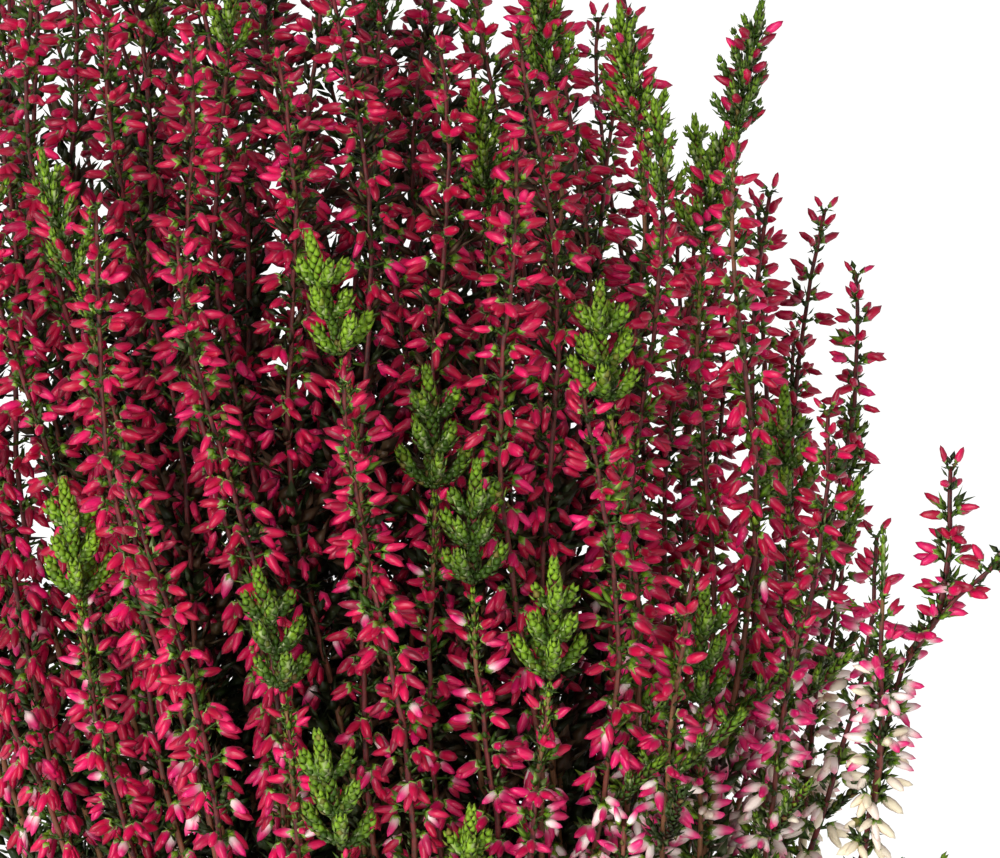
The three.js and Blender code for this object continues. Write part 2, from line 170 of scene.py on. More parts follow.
def chance(item: int, purpose: Draw) -> float:
    """A steady draw in 0..1 for one item and purpose, by mixing the bits of both numbers."""
    mask = 0xFFFFFFFF
    n = ((item + 7) * 374761393 + (purpose + 1) * 668265263) & mask
    n = ((n ^ (n >> 13)) * 1274126177) & mask
    return (n ^ (n >> 16)) / (mask + 1)


def lattice_point(i: int, count: int, radius: float) -> Array:
    """Point i of a sunflower lattice of count points inside a radius."""
    r = radius * math.sqrt((i + 0.5) / count)
    return np.array([r * math.cos(i * GOLDEN_ANGLE), r * math.sin(i * GOLDEN_ANGLE)])


@dataclass(frozen=True)
class BushPlan:
    """Where every spike, stray branch and low shoot of the bush stands, by the frame's own rule."""

    bundle: Bundle = Bundle()
    spikes: int = 108
    sprays: int = 32
    top: float = 358.0
    crown_fall: float = 84.0
    crown_shoulder: float = 100.0
    crown_middle: float = -12.0
    crown_back: float = 16.0
    crown_across: float = 0.9
    crown_deep: float = 0.98
    crown_power: float = 3.4
    crown_tilt: float = 0.12
    crown_rough: float = 26.0
    gap_at: float = 48.0  # a notch that short spikes leave in the crown
    gap_half: float = 8.0
    gap_top: float = 290.0
    top_share: float = 0.22
    shown_shift: float = 4.5  # how far a spike moves across at most to take a shown place
    height_slack: float = 18.0  # difference in height that costs nothing when a spike is chosen
    height_cost: float = 0.35
    behind_cost: float = 0.2
    # Heads that stand out from the crown: distance to the right of the axis, height of the top, and kind
    shown: tuple[tuple[float, float, End], ...] = (
        (33, 288, End.TIP), (14, 256, End.TIP), (24, 239, End.TIP), (-34, 237, End.TIP), (-26, 209, End.TIP),
        (2, 272, End.TIP), (11, 324, End.TIP), (22, 348, End.TIP), (17, 193, End.TIP), (-17, 298, End.TIP),
        (-72, 312, End.TIP), (70, 264, End.TIP), (56, 317, End.TIP), (39, 339, End.TIP), (-66, 251, End.TIP),
        (52, 230, End.TIP), (61, 340, End.TIP), (86, 285, End.LOW), (87, 236, End.LOW), (-51, 253, End.LOW),
        (79, 296, End.LOW), (77, 262, End.LOW),
    )

    def heads(self) -> list[Spike]:
        """All spikes of the bush with their spray, height and kind of end."""
        bundle = self.bundle
        centres = [lattice_point(j, self.sprays, bundle.radius) for j in range(self.sprays)]
        heads = []
        for i in range(self.spikes):
            place = lattice_point(i, self.spikes, bundle.radius)
            gaps = [math.dist(place, centre) for centre in centres]
            spray = int(np.argmin(gaps))
            centre = centres[spray]

            def route(z: Array, i: int = i, centre: Array = centre, place: Array = place) -> Array:
                """Centre line of this spike at heights z."""
                return bundle.stem(i, centre, place, z)

            heads.append(Spike(
                number=i,
                top=(self.crown_height(place, route(self.top)[0, 0])
                     + self.crown_rough * (chance(i, Draw.HEIGHT) - 0.5)),
                start=SOIL_LEVEL + bundle.fork_share(centre) * bundle.reach,
                route=route,
                end=End.LEAFY if chance(i, Draw.KIND) < self.top_share else End.PLAIN,
                spray=spray,
                side=gaps[spray],
                place=place,
            ))
        self._place_shown(heads)
        return heads

    def crown_height(self, place: Array, x: float) -> float:
        """Height of the crown.

        Args:
            place: A place at the bundle's full width.
            x: Where the spike of that place ends.

        Returns:
            The height.
        """
        out = math.hypot(self.crown_across * (place[0] - self.crown_middle),
                         self.crown_deep * (place[1] - self.crown_back))
        fall = self.crown_fall * (out / self.crown_shoulder) ** self.crown_power + self.crown_tilt * place[0]
        height = self.top - fall
        return min(height, self.gap_top) if abs(x - self.gap_at) < self.gap_half else height

    def _place_shown(self, heads: list[Spike]) -> None:
        """Gives each shown head to the free spike that stands nearest to it.

        Args:
            heads: All spikes, changed in place.
        """
        for x, top, end in self.shown:
            free = [head for head in heads if head.end not in (End.TIP, End.LOW)]
            offsets = [x - head.route(top - TIP_LENGTH / 2)[0, 0] for head in free]
            costs = [
                abs(offset) + self.height_cost * max(0.0, abs(head.top - top) - self.height_slack)
                + self.behind_cost * max(0.0, head.place[1])
                for offset, head in zip(offsets, free)
            ]
            best = int(np.argmin(costs))
            free[best].place[0] += min(max(offsets[best], -self.shown_shift), self.shown_shift)
            free[best].top = float(top)
            free[best].end = end


@dataclass(frozen=True)
class StrayPlan:
    """The long stray branch, which leans out to the right above its bend, and its side spikes."""

    x: float = 34.0
    y: float = -30.0
    out: float = 50.0
    settle: float = 35.0
    slope: float = 0.05
    forward: float = 32.0
    forward_settle: float = 50.0
    start: float = 150.0
    bend: float = 222.0
    ease: float = 6.0
    lean: float = 1.3
    top: float = 243.0
    bare: float = 8.0
    part: float = 12.0
    number: int = 300  # of its own spike, and the side spikes follow
    # Each side spike's start, top, ease, how far it moves back and what it ends in
    side_spikes: tuple[tuple[float, float, float, float, End], ...] = (
        (219, 254, 5, 0, End.PLAIN), (190, 241, 0.5, -9, End.FINE))

    def branch(self, z: Array) -> Array:
        """Places of the branch at heights z."""
        z = np.atleast_1d(np.asarray(z, float))
        rise = np.maximum(0, z - SOIL_LEVEL)
        past = np.where(rise > 0, self.ease * np.log1p(np.exp((z - self.bend) / self.ease)), 0)
        out = self.out * (1 - np.exp(-rise / self.settle)) + self.slope * rise + self.lean * past
        forward = self.forward * (1 - np.exp(-rise / self.forward_settle))
        return np.column_stack([self.x + out, self.y - forward, z])

    def side(self, start: float, ease: float, back: float) -> Route:
        """Route of a side spike that leaves the branch.

        Args:
            start: Height at which it leaves.
            ease: Height within which it turns up.
            back: How far it moves back from the branch.

        Returns:
            The route.
        """

        def route(z: Array) -> Array:
            """Centre line of the branch up to the fork, and of this spike above it."""
            z = np.atleast_1d(np.asarray(z, float))
            points = self.branch(np.minimum(z, start))
            above = np.maximum(0, z - start)
            points[:, 0] += self.lean * ease * (1 - np.exp(-above / ease))
            points[:, 1] += back * (1 - np.exp(-above / self.part))
            points[:, 2] = z
            return points

        return route

    def spikes(self) -> list[Spike]:
        """The branch's own spike and its side spikes."""
        spikes = [Spike(self.number, self.top, self.start, self.branch, bare=self.bare)]
        for k, (start, top, ease, back, end) in enumerate(self.side_spikes):
            route = self.side(start, ease, back)
            spikes.append(Spike(self.number + 1 + k, top, start, route, end, self.bare))
        return spikes


@dataclass(frozen=True)
class ShootPlan:
    """The low leafy shoots round the rim, each where the stems leave most room."""

    count: int = 8
    foot: float = 52.5
    length: float = 60.0
    length_varies: float = 18.0
    lean: float = 0.84
    lean_varies: float = 0.14
    ease: float = 12.0
    number: int = 400  # of the first
    tries: tuple[float, ...] = (0.2, 0.3, 0.4, 0.5, 0.6, 0.7, 0.8)
    levels: tuple[float, ...] = (0.0, 20.0, 40.0, 60.0)  # above the soil, where a place has to have room

    def course(self, turn: float, lean: float, z: Array) -> Array:
        """Places along a shoot that leans out.

        Args:
            turn: Its turn about the axis.
            lean: How much it leans.
            z: Heights.

        Returns:
            One point for each height.
        """
        z = np.atleast_1d(np.asarray(z, float))
        rise = np.maximum(0, z - SOIL_LEVEL)
        r = self.foot + lean * rise * rise / (rise + self.ease)
        return np.column_stack([r * math.cos(turn), r * math.sin(turn), z])

    def shoots(self, stems: Sequence[Spike]) -> list[Spike]:
        """The shoots.

        Args:
            stems: The stems that they keep clear of.

        Returns:
            One spike for each shoot.
        """
        levels = SOIL_LEVEL + np.array(self.levels)
        places = np.concatenate([stem.route(levels) for stem in stems])
        shoots = []
        for k in range(self.count):
            lean = self.lean + self.lean_varies * (chance(k, Draw.LEAN) - 0.5)
            turns = [(k + part) * 2 * math.pi / self.count for part in self.tries]
            tried = [self.course(turn, lean, levels) for turn in turns]
            rooms = [np.linalg.norm(places[:, None] - course[None], axis=2).min() for course in tried]
            turn = turns[int(np.argmax(rooms))]

            def route(z: Array, turn: float = turn, lean: float = lean) -> Array:
                """Centre line of this shoot at heights z."""
                return self.course(turn, lean, z)

            top = SOIL_LEVEL + self.length + self.length_varies * chance(k, Draw.LENGTH)
            shoots.append(Spike(self.number + k, top, SOIL_LEVEL, route))
        return shoots


# ---------------------------------------------------------------- shapes


@dataclass(frozen=True)
class Shape:
    """A small shape that is strewn many times: unit long along +Z and unit wide.

    Its notes hold, for each point, how far along the shape it lies and how near an edge or ridge.
    """

    points: Array
    faces: Array
    notes: Array


def bud_shape(columns: int, rings: Sequence[tuple[float, float]]) -> Shape:
    """A closed bud, plump near its foot and pointed at its tip, with a ridge on every second column.

    Args:
        columns: Number of columns round it.
        rings: How far along each ring lies, and its width as a share of the full one.

    Returns:
        The shape.
    """
    twist, on_ridge, in_groove = 0.4, 1.04, 0.94
    points, notes = [], []
    for t, r in rings:
        for k in range(columns):
            ridge = 1 - k % 2
            turn = 2 * math.pi * k / columns + twist * t
            reach = 0.5 * r * (on_ridge if ridge else in_groove)
            points.append((reach * math.cos(turn), reach * math.sin(turn), t))
            notes.append((t, float(ridge)))
    points += [(0.03, 0.0, 1.0), (0.0, 0.0, 0.0)]
    notes += [(1.0, 0.5), (0.0, 0.5)]
    tip, foot = len(points) - 2, len(points) - 1
    faces = []
    for k in range(columns):
        after = (k + 1) % columns
        for ring in range(len(rings) - 1):
            a, b = ring * columns + k, ring * columns + after
            faces += [(a, b, b + columns), (a, b + columns, a + columns)]
        last = (len(rings) - 1) * columns
        faces += [(last + k, last + after, tip), (after, k, foot)]
    return Shape(np.array(points), np.array(faces), np.array(notes))


def cup_shape(teeth: int) -> Shape:
    """The flared cup of joined pointed bracts that holds a bud's foot, its rim noted as an edge."""
    points, notes = [(0.0, 0.0, -0.12), (0.0, 0.0, 0.22)], [(0.0, 0.0), (0.2, 0.0)]
    for k in range(2 * teeth):
        turn = math.pi * k / teeth
        tooth = k % 2 == 0
        reach, t = (0.58, 1.0) if tooth else (0.43, 0.42)
        points.append((reach * math.cos(turn), reach * math.sin(turn), t))
        notes.append((t, 1.0 if tooth else 0.85))
    faces = []
    for k in range(2 * teeth):
        a, b = 2 + k, 2 + (k + 1) % (2 * teeth)
        faces += [(0, b, a), (1, a, b)]
    return Shape(np.array(points), np.array(faces), np.array(notes))


def leaf_shape(widest: float = 0.42) -> Shape:
    """A keeled scale leaf with three faces out and three in, its margins noted as edges."""
    points = [(0, 0, 0), (-0.5, 0.12, widest), (0.5, 0.12, widest), (0, -0.5, widest * 0.9), (0, 0.1, 1.0)]
    notes = [(0, 0), (widest, 0.76), (widest, 0.76), (widest, 0), (1, 0.6)]
    faces = [(0, 1, 2), (0, 2, 3), (0, 3, 1), (4, 2, 1), (4, 3, 2), (4, 1, 3)]
    return Shape(np.array(points, float), np.array(faces), np.array(notes, float))


def tuft_shape(whorls: Sequence[tuple[float, float, int]], width: float) -> Shape:
    """A short leafy twig: whorls of scale leaves that point up and out.

    Args:
        whorls: For each whorl, how far along it stands, how long its leaves are and how many there are.
        width: Width of a leaf as a share of the tuft's own.

    Returns:
        The shape.
    """
    leaf = leaf_shape()
    points, faces, notes = [], [], []
    for k, (start, length, count) in enumerate(whorls):
        for j in range(count):
            turn = 2 * math.pi * (j + 0.5 * k) / count
            out = np.array([math.cos(turn), math.sin(turn)])
            side = np.array([-math.sin(turn), math.cos(turn)])
            across, keel, along = leaf.points.T
            reach = 0.06 + 0.44 * along - 0.12 * keel
            flat = out * reach[:, None] + side * (width * across)[:, None]
            faces.append(leaf.faces + sum(len(p) for p in points))
            points.append(np.column_stack([flat, start + length * along + 0.08 * keel]))
            notes.append(np.column_stack([start + length * leaf.notes[:, 0], leaf.notes[:, 1]]))
    return Shape(np.concatenate(points), np.concatenate(faces), np.concatenate(notes))


def stalk_shape() -> Shape:
    """A short three-sided stalk that tapers, open at its hidden ends."""
    points, notes = [], []
    for t, r in ((0.0, 0.6), (1.0, 0.4)):
        for k in range(3):
            turn = 2 * math.pi * k / 3
            points.append((r * math.cos(turn), r * math.sin(turn), t))
            notes.append((t, 0.0))
    faces = []
    for k in range(3):
        after = (k + 1) % 3
        faces += [(k, after, after + 3), (k, after + 3, k + 3)]
    return Shape(np.array(points), np.array(faces), np.array(notes))


BUD = bud_shape(5, ((0.16, 0.88), (0.46, 1.0), (0.8, 0.66)))
PLAIN_BUD = bud_shape(5, ((0.22, 0.95), (0.7, 0.87)))
INNER_BUD = bud_shape(4, ((0.28, 1.0), (0.72, 0.85)))
CUP = cup_shape(3)
PLAIN_CUP = cup_shape(2)
LEAF = leaf_shape()
STALK = stalk_shape()
SIDE_TWIG = tuft_shape(((0.0, 0.5, 2), (0.25, 0.5, 2), (0.5, 0.5, 2)), 0.5)
SHORT_TWIG = tuft_shape(((0.0, 0.75, 2), (0.3, 0.7, 2)), 0.42)


def unit(vectors: Array) -> Array:
    """The vectors at length one."""
    return vectors / np.maximum(np.linalg.norm(vectors, axis=-1, keepdims=True), 1e-9)


def frames_along(directions: Array, rolls: Array) -> Array:
    """Frames whose third axis points along each direction.

    Args:
        directions: One direction for each frame.
        rolls: Turn of each frame about its direction, in radians.

    Returns:
        One 3x3 matrix for each direction, with its axes as columns.
    """
    z = unit(directions)
    helper = np.where(np.abs(z[:, 2:3]) < 0.9, UP, np.array([1.0, 0.0, 0.0]))
    x = unit(np.cross(helper, z))
    y = np.cross(z, x)
    c, s = np.cos(rolls)[:, None], np.sin(rolls)[:, None]
    return np.stack([x * c + y * s, y * c - x * s, z], axis=2)


def radial(turns: Array) -> Array:
    """Level unit vectors at these turns about the upright axis."""
    return np.column_stack([np.cos(turns), np.sin(turns), np.zeros_like(turns)])


def leaning(turns: Array, rises: Array) -> Array:
    """Unit vectors at these turns about the upright axis and these angles above level."""
    return radial(turns) * np.cos(rises)[:, None] + UP * np.sin(rises)[:, None]


def linked(name: str, data: bpy.types.ID) -> bpy.types.Object:
    """A new object of the scene with this mesh, lamp or camera."""
    made = bpy.data.objects.new(name, data)
    bpy.context.scene.collection.objects.link(made)
    return made


class Skin:
    """The triangles of one piece, gathered shape by shape."""

    def __init__(self) -> None:
        """Starts with no triangles."""
        self.points: list[Array] = []
        self.faces: list[Array] = []
        self.tones: list[Array] = []
        self.wears: list[Array] = []
        self.count = 0

    def add(self, points: Array, faces: Array, tones: Array, finish: int) -> None:
        """Adds triangles.

        Args:
            points: Their corners, in millimetres.
            faces: Three corner numbers for each.
            tones: For each corner, how far along, how near an edge, its shade and its age, all 0..1.
            finish: Index of the finish that they wear.
        """
        self.points.append(points)
        self.faces.append(faces + self.count)
        self.tones.append(tones)
        self.wears.append(np.full(len(faces), finish))
        self.count += len(points)

    def strew(self, shape: Shape, finish: int, at: Array, along: Array, rolls: Array, sizes: Array,
              shades: Array, ages: Array) -> None:
        """Adds many copies of a shape.

        Args:
            shape: The shape.
            finish: Index of the finish that it wears.
            at: Where each copy starts.
            along: The way each copy points.
            rolls: Turn of each copy about that way, in radians.
            sizes: Width, depth and length of each copy.
            shades: The steady draw of each copy's colour, 0..1.
            ages: The age or paleness of each copy, 0..1.
        """
        count, corners = len(at), len(shape.points)
        if count == 0:
            return
        own = shape.points[None] * sizes[:, None, :]
        placed = np.einsum("nij,nvj->nvi", frames_along(along, rolls), own) + at[:, None, :]
        faces = shape.faces[None] + (np.arange(count) * corners)[:, None, None]
        tones = np.empty((count, corners, 4))
        tones[:, :, :2] = shape.notes
        tones[:, :, 2] = shades[:, None]
        tones[:, :, 3] = ages[:, None]
        self.add(placed.reshape(-1, 3), faces.reshape(-1, 3), tones.reshape(-1, 4), finish)

    def tube(self, path: Array, radii: Array, sides: int, finish: int, shade: float, ages: Array) -> None:
        """Adds a closed tube along a path, with every second side a ridge.

        Args:
            path: Its middle line.
            radii: Its radius at each point of the path.
            sides: Number of sides.
            finish: Index of the finish that it wears.
            shade: The steady draw of its colour, 0..1.
            ages: Age at each point of the path, 0..1.
        """
        tangents = unit(np.gradient(path, axis=0))
        helper = np.eye(3)[int(np.argmin(np.abs(tangents.mean(0))))]
        side = unit(helper - tangents * (tangents @ helper)[:, None])
        other = np.cross(tangents, side)
        turns = 2 * np.pi * np.arange(sides) / sides
        ring = side[:, None] * np.cos(turns)[None, :, None] + other[:, None] * np.sin(turns)[None, :, None]
        points = (path[:, None] + ring * radii[:, None, None]).reshape(-1, 3)
        steps = len(path)
        tones = np.empty((steps, sides, 4))
        tones[:, :, 0] = np.linspace(0, 1, steps)[:, None]
        tones[:, :, 1] = 1 - np.arange(sides) % 2
        tones[:, :, 2] = shade
        tones[:, :, 3] = ages[:, None]
        low = np.arange((steps - 1) * sides)
        after = low + 1 - sides * ((low % sides) == sides - 1)
        faces = np.concatenate([
            np.column_stack([low, after, after + sides]),
            np.column_stack([low, after + sides, low + sides]),
            [(0, k + 1, k) for k in range(1, sides - 1)],
            [((steps - 1) * sides, (steps - 1) * sides + k, (steps - 1) * sides + k + 1)
             for k in range(1, sides - 1)],
        ])
        self.add(points, faces, tones.reshape(-1, 4), finish)

    def piece(self, name: str, finishes: Sequence[bpy.types.Material], node: str) -> None:
        """Writes the triangles as one object that stands for a node of the frame.

        Args:
            name: The piece's name.
            finishes: Its materials, in the order of the finish indices.
            node: The node that it stands for.
        """
        points = np.concatenate(self.points)
        faces = np.concatenate(self.faces)
        tones = np.concatenate(self.tones).clip(0, 1)
        wears = np.concatenate(self.wears)
        mesh = bpy.data.meshes.new(name)
        mesh.vertices.add(len(points))
        mesh.vertices.foreach_set("co", (points * MM).astype(np.float32).ravel())
        mesh.loops.add(3 * len(faces))
        mesh.loops.foreach_set("vertex_index", faces.astype(np.int32).ravel())
        mesh.polygons.add(len(faces))
        mesh.polygons.foreach_set("loop_start", np.arange(0, 3 * len(faces), 3, dtype=np.int32))
        mesh.polygons.foreach_set("material_index", wears.astype(np.int32))
        mesh.polygons.foreach_set("use_smooth", np.ones(len(faces), bool))
        mesh.update(calc_edges=True)
        mesh.attributes.new(TONE, "FLOAT_COLOR", "POINT").data.foreach_set(
            "color", tones.astype(np.float32).ravel())
        bake_map = mesh.uv_layers.new(name=BAKE_MAP)
        bake_map.uv.foreach_set("vector", self._map(faces, tones, wears, len(finishes)).ravel())
        for material in finishes:
            mesh.materials.append(material)
        made = linked(name, mesh)
        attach(made, BODY)
        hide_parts(node)
        log.info("%s: %d triangles", name, len(faces))

    @staticmethod
    def _map(faces: Array, tones: Array, wears: Array, bands: int) -> Array:
        """A map that lays corners of like colour together: a band for each finish, then age, shade and place.

        Args:
            faces: Three corner numbers for each triangle.
            tones: The corners' tones.
            wears: The finish of each triangle.
            bands: Number of finishes.

        Returns:
            Two numbers for each triangle corner.
        """
        corner = tones[faces.ravel()]
        band = np.repeat(wears, 3)
        across = 0.02 + 0.96 * (0.8 * corner[:, 3] + 0.14 * corner[:, 2] + 0.06 * corner[:, 1])
        up = (band + 0.05 + 0.9 * (0.9 * corner[:, 0] + 0.1 * corner[:, 2])) / bands
        return np.column_stack([across, up]).astype(np.float32)


# ---------------------------------------------------------------- finishes


def linear(hex_colour: str) -> tuple[float, float, float, float]:
    """An sRGB hex colour as linear red, green, blue and 1."""
    parts = [int(hex_colour[k:k + 2], 16) / 255 for k in (1, 3, 5)]
    return (*[p / 12.92 if p <= 0.04045 else ((p + 0.055) / 1.055) ** 2.4 for p in parts], 1.0)


def add_node(tree: bpy.types.NodeTree, kind: str, inputs: dict | None = None,
             **settings: object) -> bpy.types.Node:
    """Adds one shader node with its settings and links.

    Args:
        tree: The node tree.
        kind: The node's type.
        inputs: For each input's name or number, a value or the output that it is linked from.
        settings: The node's own properties.

    Returns:
        The node.
    """
    node = tree.nodes.new(kind)
    for key, value in settings.items():
        setattr(node, key, value)
    for key, value in (inputs or {}).items():
        if isinstance(value, bpy.types.NodeSocket):
            tree.links.new(value, node.inputs[key])
        else:
            node.inputs[key].default_value = value
    return node


@dataclass(frozen=True)
class Layer:
    """One colour laid over those below: its share goes from the first to the second as a pattern rises."""

    pattern: str
    between: tuple[float, float]
    shares: tuple[float, float]
    colour: str


@dataclass(frozen=True)
class Finish:
    """A finish: its name and the shader values that are the same all over it."""

    name: str = "finish"
    roughness: float = 0.5
    ior: float = 1.45

    def material(self) -> bpy.types.Material:
        """The finished material."""
        made = bpy.data.materials.new(self.name)
        made.use_nodes = True
        tree = made.node_tree
        shader = next(node for node in tree.nodes if node.type == "BSDF_PRINCIPLED")
        shader.inputs["IOR"].default_value = self.ior
        shader.inputs["Roughness"].default_value = self.roughness
        self.dress(tree, shader)
        return made

    def dress(self, tree: bpy.types.NodeTree, shader: bpy.types.Node) -> None:
        """Adds the pattern's nodes. Each finish has its own."""
        raise NotImplementedError

    def tones(self, tree: bpy.types.NodeTree) -> dict[str, bpy.types.NodeSocket]:
        """The mesh's own tones: place along, nearness of an edge, shade and age."""
        tone = add_node(tree, "ShaderNodeAttribute", attribute_name=TONE)
        parts = add_node(tree, "ShaderNodeSeparateColor", {"Color": tone.outputs["Color"]})
        along, edge, shade = parts.outputs
        return {"along": along, "edge": edge, "shade": shade, "age": tone.outputs["Alpha"]}

    def paint(self, tree: bpy.types.NodeTree, shader: bpy.types.Node,
              patterns: dict[str, bpy.types.NodeSocket], base: str, layers: Sequence[Layer]) -> None:
        """Gives the shader its colour: a base with layers of other colours over it.

        Args:
            tree: The node tree.
            shader: The shader.
            patterns: The outputs that layers read, by name.
            base: The lowest colour, sRGB hex.
            layers: The layers, lowest first.
        """
        colour = linear(base)
        for layer in layers:
            share = add_node(
                tree, "ShaderNodeMapRange",
                {"Value": patterns[layer.pattern], "From Min": layer.between[0], "From Max": layer.between[1],
                 "To Min": layer.shares[0], "To Max": layer.shares[1]},
                interpolation_type="SMOOTHSTEP")
            mixed = add_node(
                tree, "ShaderNodeMix",
                {0: share.outputs["Result"], 6: colour, 7: linear(layer.colour)}, data_type="RGBA")
            colour = mixed.outputs[2]
        tree.links.new(colour, shader.inputs["Base Color"])


@dataclass(frozen=True)
class SepalFinish(Finish):
    """Dry papery sepals: a soft satin skin, so that each bud has one broad highlight."""

    name: str = "satin_sepal"
    roughness: float = 0.34
    ior: float = 1.45
    crimson: str = "#B0012D"
    wine: str = "#6B0320"
    rose: str = "#E00F56"
    magenta: str = "#DE146F"
    tip: str = "#74041F"
    blush: str = "#E0608F"
    white: str = "#F3E2DA"
    cream: str = "#E9DCB8"
    streak: float = 0.35  # spacing of the fine streaks

    def dress(self, tree: bpy.types.NodeTree, shader: bpy.types.Node) -> None:
        """Adds the crimson of each bud, its darker tip, its pale foot and fine streaks."""
        patterns = self.tones(tree)
        place = add_node(tree, "ShaderNodeTexCoord").outputs["Object"]
        streaks = add_node(tree, "ShaderNodeTexNoise",
                           {"Vector": place, "Scale": 1 / (self.streak * MM * 6), "Detail": 2.0})
        patterns["streaks"] = streaks.outputs["Fac"]
        # White creeps up a fading bud from its foot, and the tip keeps its colour longest
        reach = add_node(tree, "ShaderNodeMath", {0: patterns["age"], 1: 1.5}, operation="MULTIPLY")
        fade = add_node(tree, "ShaderNodeMath", {0: reach.outputs[0], 1: patterns["along"]},
                        operation="SUBTRACT")
        patterns["fade"] = fade.outputs[0]
        self.paint(tree, shader, patterns, self.wine, (
            Layer("shade", (0.0, 0.4), (0.0, 1.0), self.crimson),
            Layer("shade", (0.45, 0.8), (0.0, 1.0), self.rose),
            Layer("shade", (0.72, 0.95), (0.0, 0.7), self.magenta),
            Layer("edge", (0.0, 1.0), (0.0, 0.3), self.rose),
            Layer("streaks", (0.35, 0.75), (0.0, 0.4), self.wine),
            Layer("along", (0.7, 1.0), (0.0, 0.5), self.tip),
            Layer("along", (0.05, 0.42), (0.3, 0.0), self.blush),
            Layer("age", (0.02, 0.5), (0.0, 0.85), self.magenta),
            Layer("fade", (-0.25, 0.35), (0.0, 0.8), self.blush),
            Layer("fade", (0.0, 0.55), (0.0, 1.0), self.white),
            Layer("age", (0.75, 1.0), (0.0, 0.85), self.cream),
        ))
        bump = add_node(tree, "ShaderNodeBump", {"Height": streaks.outputs["Fac"], "Strength": 0.25,
                                                 "Distance": 0.15 * MM})
        tree.links.new(bump.outputs["Normal"], shader.inputs["Normal"])
        shader.inputs["Sheen Weight"].default_value = 0.11
        shader.inputs["Sheen Roughness"].default_value = 0.4
        shader.inputs["Sheen Tint"].default_value = linear("#FF8FC4")


@dataclass(frozen=True)
class LeafFinish(Finish):
    """Small fleshy scale leaves: waxy, with a pale dry margin that catches the light."""

    name: str = "waxy_scale_leaf"
    roughness: float = 0.45
    ior: float = 1.45
    # old is also painted shade: the inner twigs wear it to darken the inside of the bush.
    old: str = "#1B200A"
    grown: str = "#34500F"
    young: str = "#68901A"
    youngest: str = "#97BA2C"
    margin: str = "#C3C79A"
    olive: str = "#66601C"
    dry: str = "#7A5A36"
    withered: str = "#4C3524"
    gloss: float = 0.3
    mottle: float = 1.2  # size of the mottling

    def dress(self, tree: bpy.types.NodeTree, shader: bpy.types.Node) -> None:
        """Adds the green of each leaf by its age, its pale margin and a few dry ones."""
        patterns = self.tones(tree)
        place = add_node(tree, "ShaderNodeTexCoord").outputs["Object"]
        mottle = add_node(tree, "ShaderNodeTexNoise", {"Vector": place, "Scale": 1 / (self.mottle * MM * 2)})
        patterns["mottle"] = mottle.outputs["Fac"]
        # Only young leaves have lime ends: along times youth
        youth = add_node(tree, "ShaderNodeMath", {0: 0.62, 1: patterns["age"]},
                         operation="SUBTRACT", use_clamp=True)
        lime = add_node(tree, "ShaderNodeMath", {0: youth.outputs[0], 1: patterns["along"]},
                        operation="MULTIPLY")
        patterns["lime"] = lime.outputs[0]
        self.paint(tree, shader, patterns, self.young, (
            Layer("age", (0.15, 0.5), (0.0, 1.0), self.grown),
            Layer("lime", (0.06, 0.42), (0.0, 0.75), self.youngest),
            Layer("edge", (0.55, 1.0), (0.0, 0.56), self.margin),
            Layer("age", (0.5, 0.95), (0.0, 1.0), self.old),
            Layer("mottle", (0.4, 0.7), (0.0, 0.35), self.old),
            Layer("age", (0.92, 1.0), (0.0, 0.85), self.withered),
            Layer("shade", (0.86, 0.93), (0.0, 0.4), self.olive),
            Layer("shade", (0.95, 1.0), (0.0, 0.6), self.dry),
        ))
        bump = add_node(tree, "ShaderNodeBump", {"Height": mottle.outputs["Fac"], "Strength": 0.2,
                                                 "Distance": 0.1 * MM})
        tree.links.new(bump.outputs["Normal"], shader.inputs["Normal"])
        shader.inputs["Specular IOR Level"].default_value = self.gloss


@dataclass(frozen=True)
class BarkFinish(Finish):
    """Thin young bark: red-brown and dull, with pale raised lines, greyer where it is old."""

    name: str = "young_bark"
    roughness: float = 0.6
    ior: float = 1.45
    deep: str = "#2E0F0F"
    red: str = "#6E1A20"
    ridge: str = "#8C5040"
    old: str = "#3B2C22"
    tan: str = "#8F7340"
    brown: str = "#8A5F38"
    fleck: float = 1.5  # size of the flecks

    def dress(self, tree: bpy.types.NodeTree, shader: bpy.types.Node) -> None:
        """Adds the red-brown, pale ridges, flecks, the tan of green growth and the brown of old wood."""
        patterns = self.tones(tree)
        place = add_node(tree, "ShaderNodeTexCoord").outputs["Object"]
        fleck = add_node(tree, "ShaderNodeTexNoise", {"Vector": place, "Scale": 1 / (self.fleck * MM),
                                                      "Detail": 4.0})
        patterns["fleck"] = fleck.outputs["Fac"]
        green_end = add_node(tree, "ShaderNodeMath", {0: patterns["shade"], 1: patterns["along"]},
                             operation="MULTIPLY")
        patterns["green_end"] = green_end.outputs[0]
        self.paint(tree, shader, patterns, self.deep, (
            Layer("fleck", (0.3, 0.7), (0.0, 1.0), self.red),
            Layer("edge", (0.6, 1.0), (0.0, 0.3), self.ridge),
            Layer("green_end", (0.8, 1.0), (0.0, 0.75), self.tan),
            Layer("age", (0.05, 0.5), (0.0, 0.75), self.brown),
            Layer("age", (0.7, 1.0), (0.0, 0.8), self.old),
        ))
        bump = add_node(tree, "ShaderNodeBump", {"Height": fleck.outputs["Fac"], "Strength": 0.5,
                                                 "Distance": 0.2 * MM})
        tree.links.new(bump.outputs["Normal"], shader.inputs["Normal"])


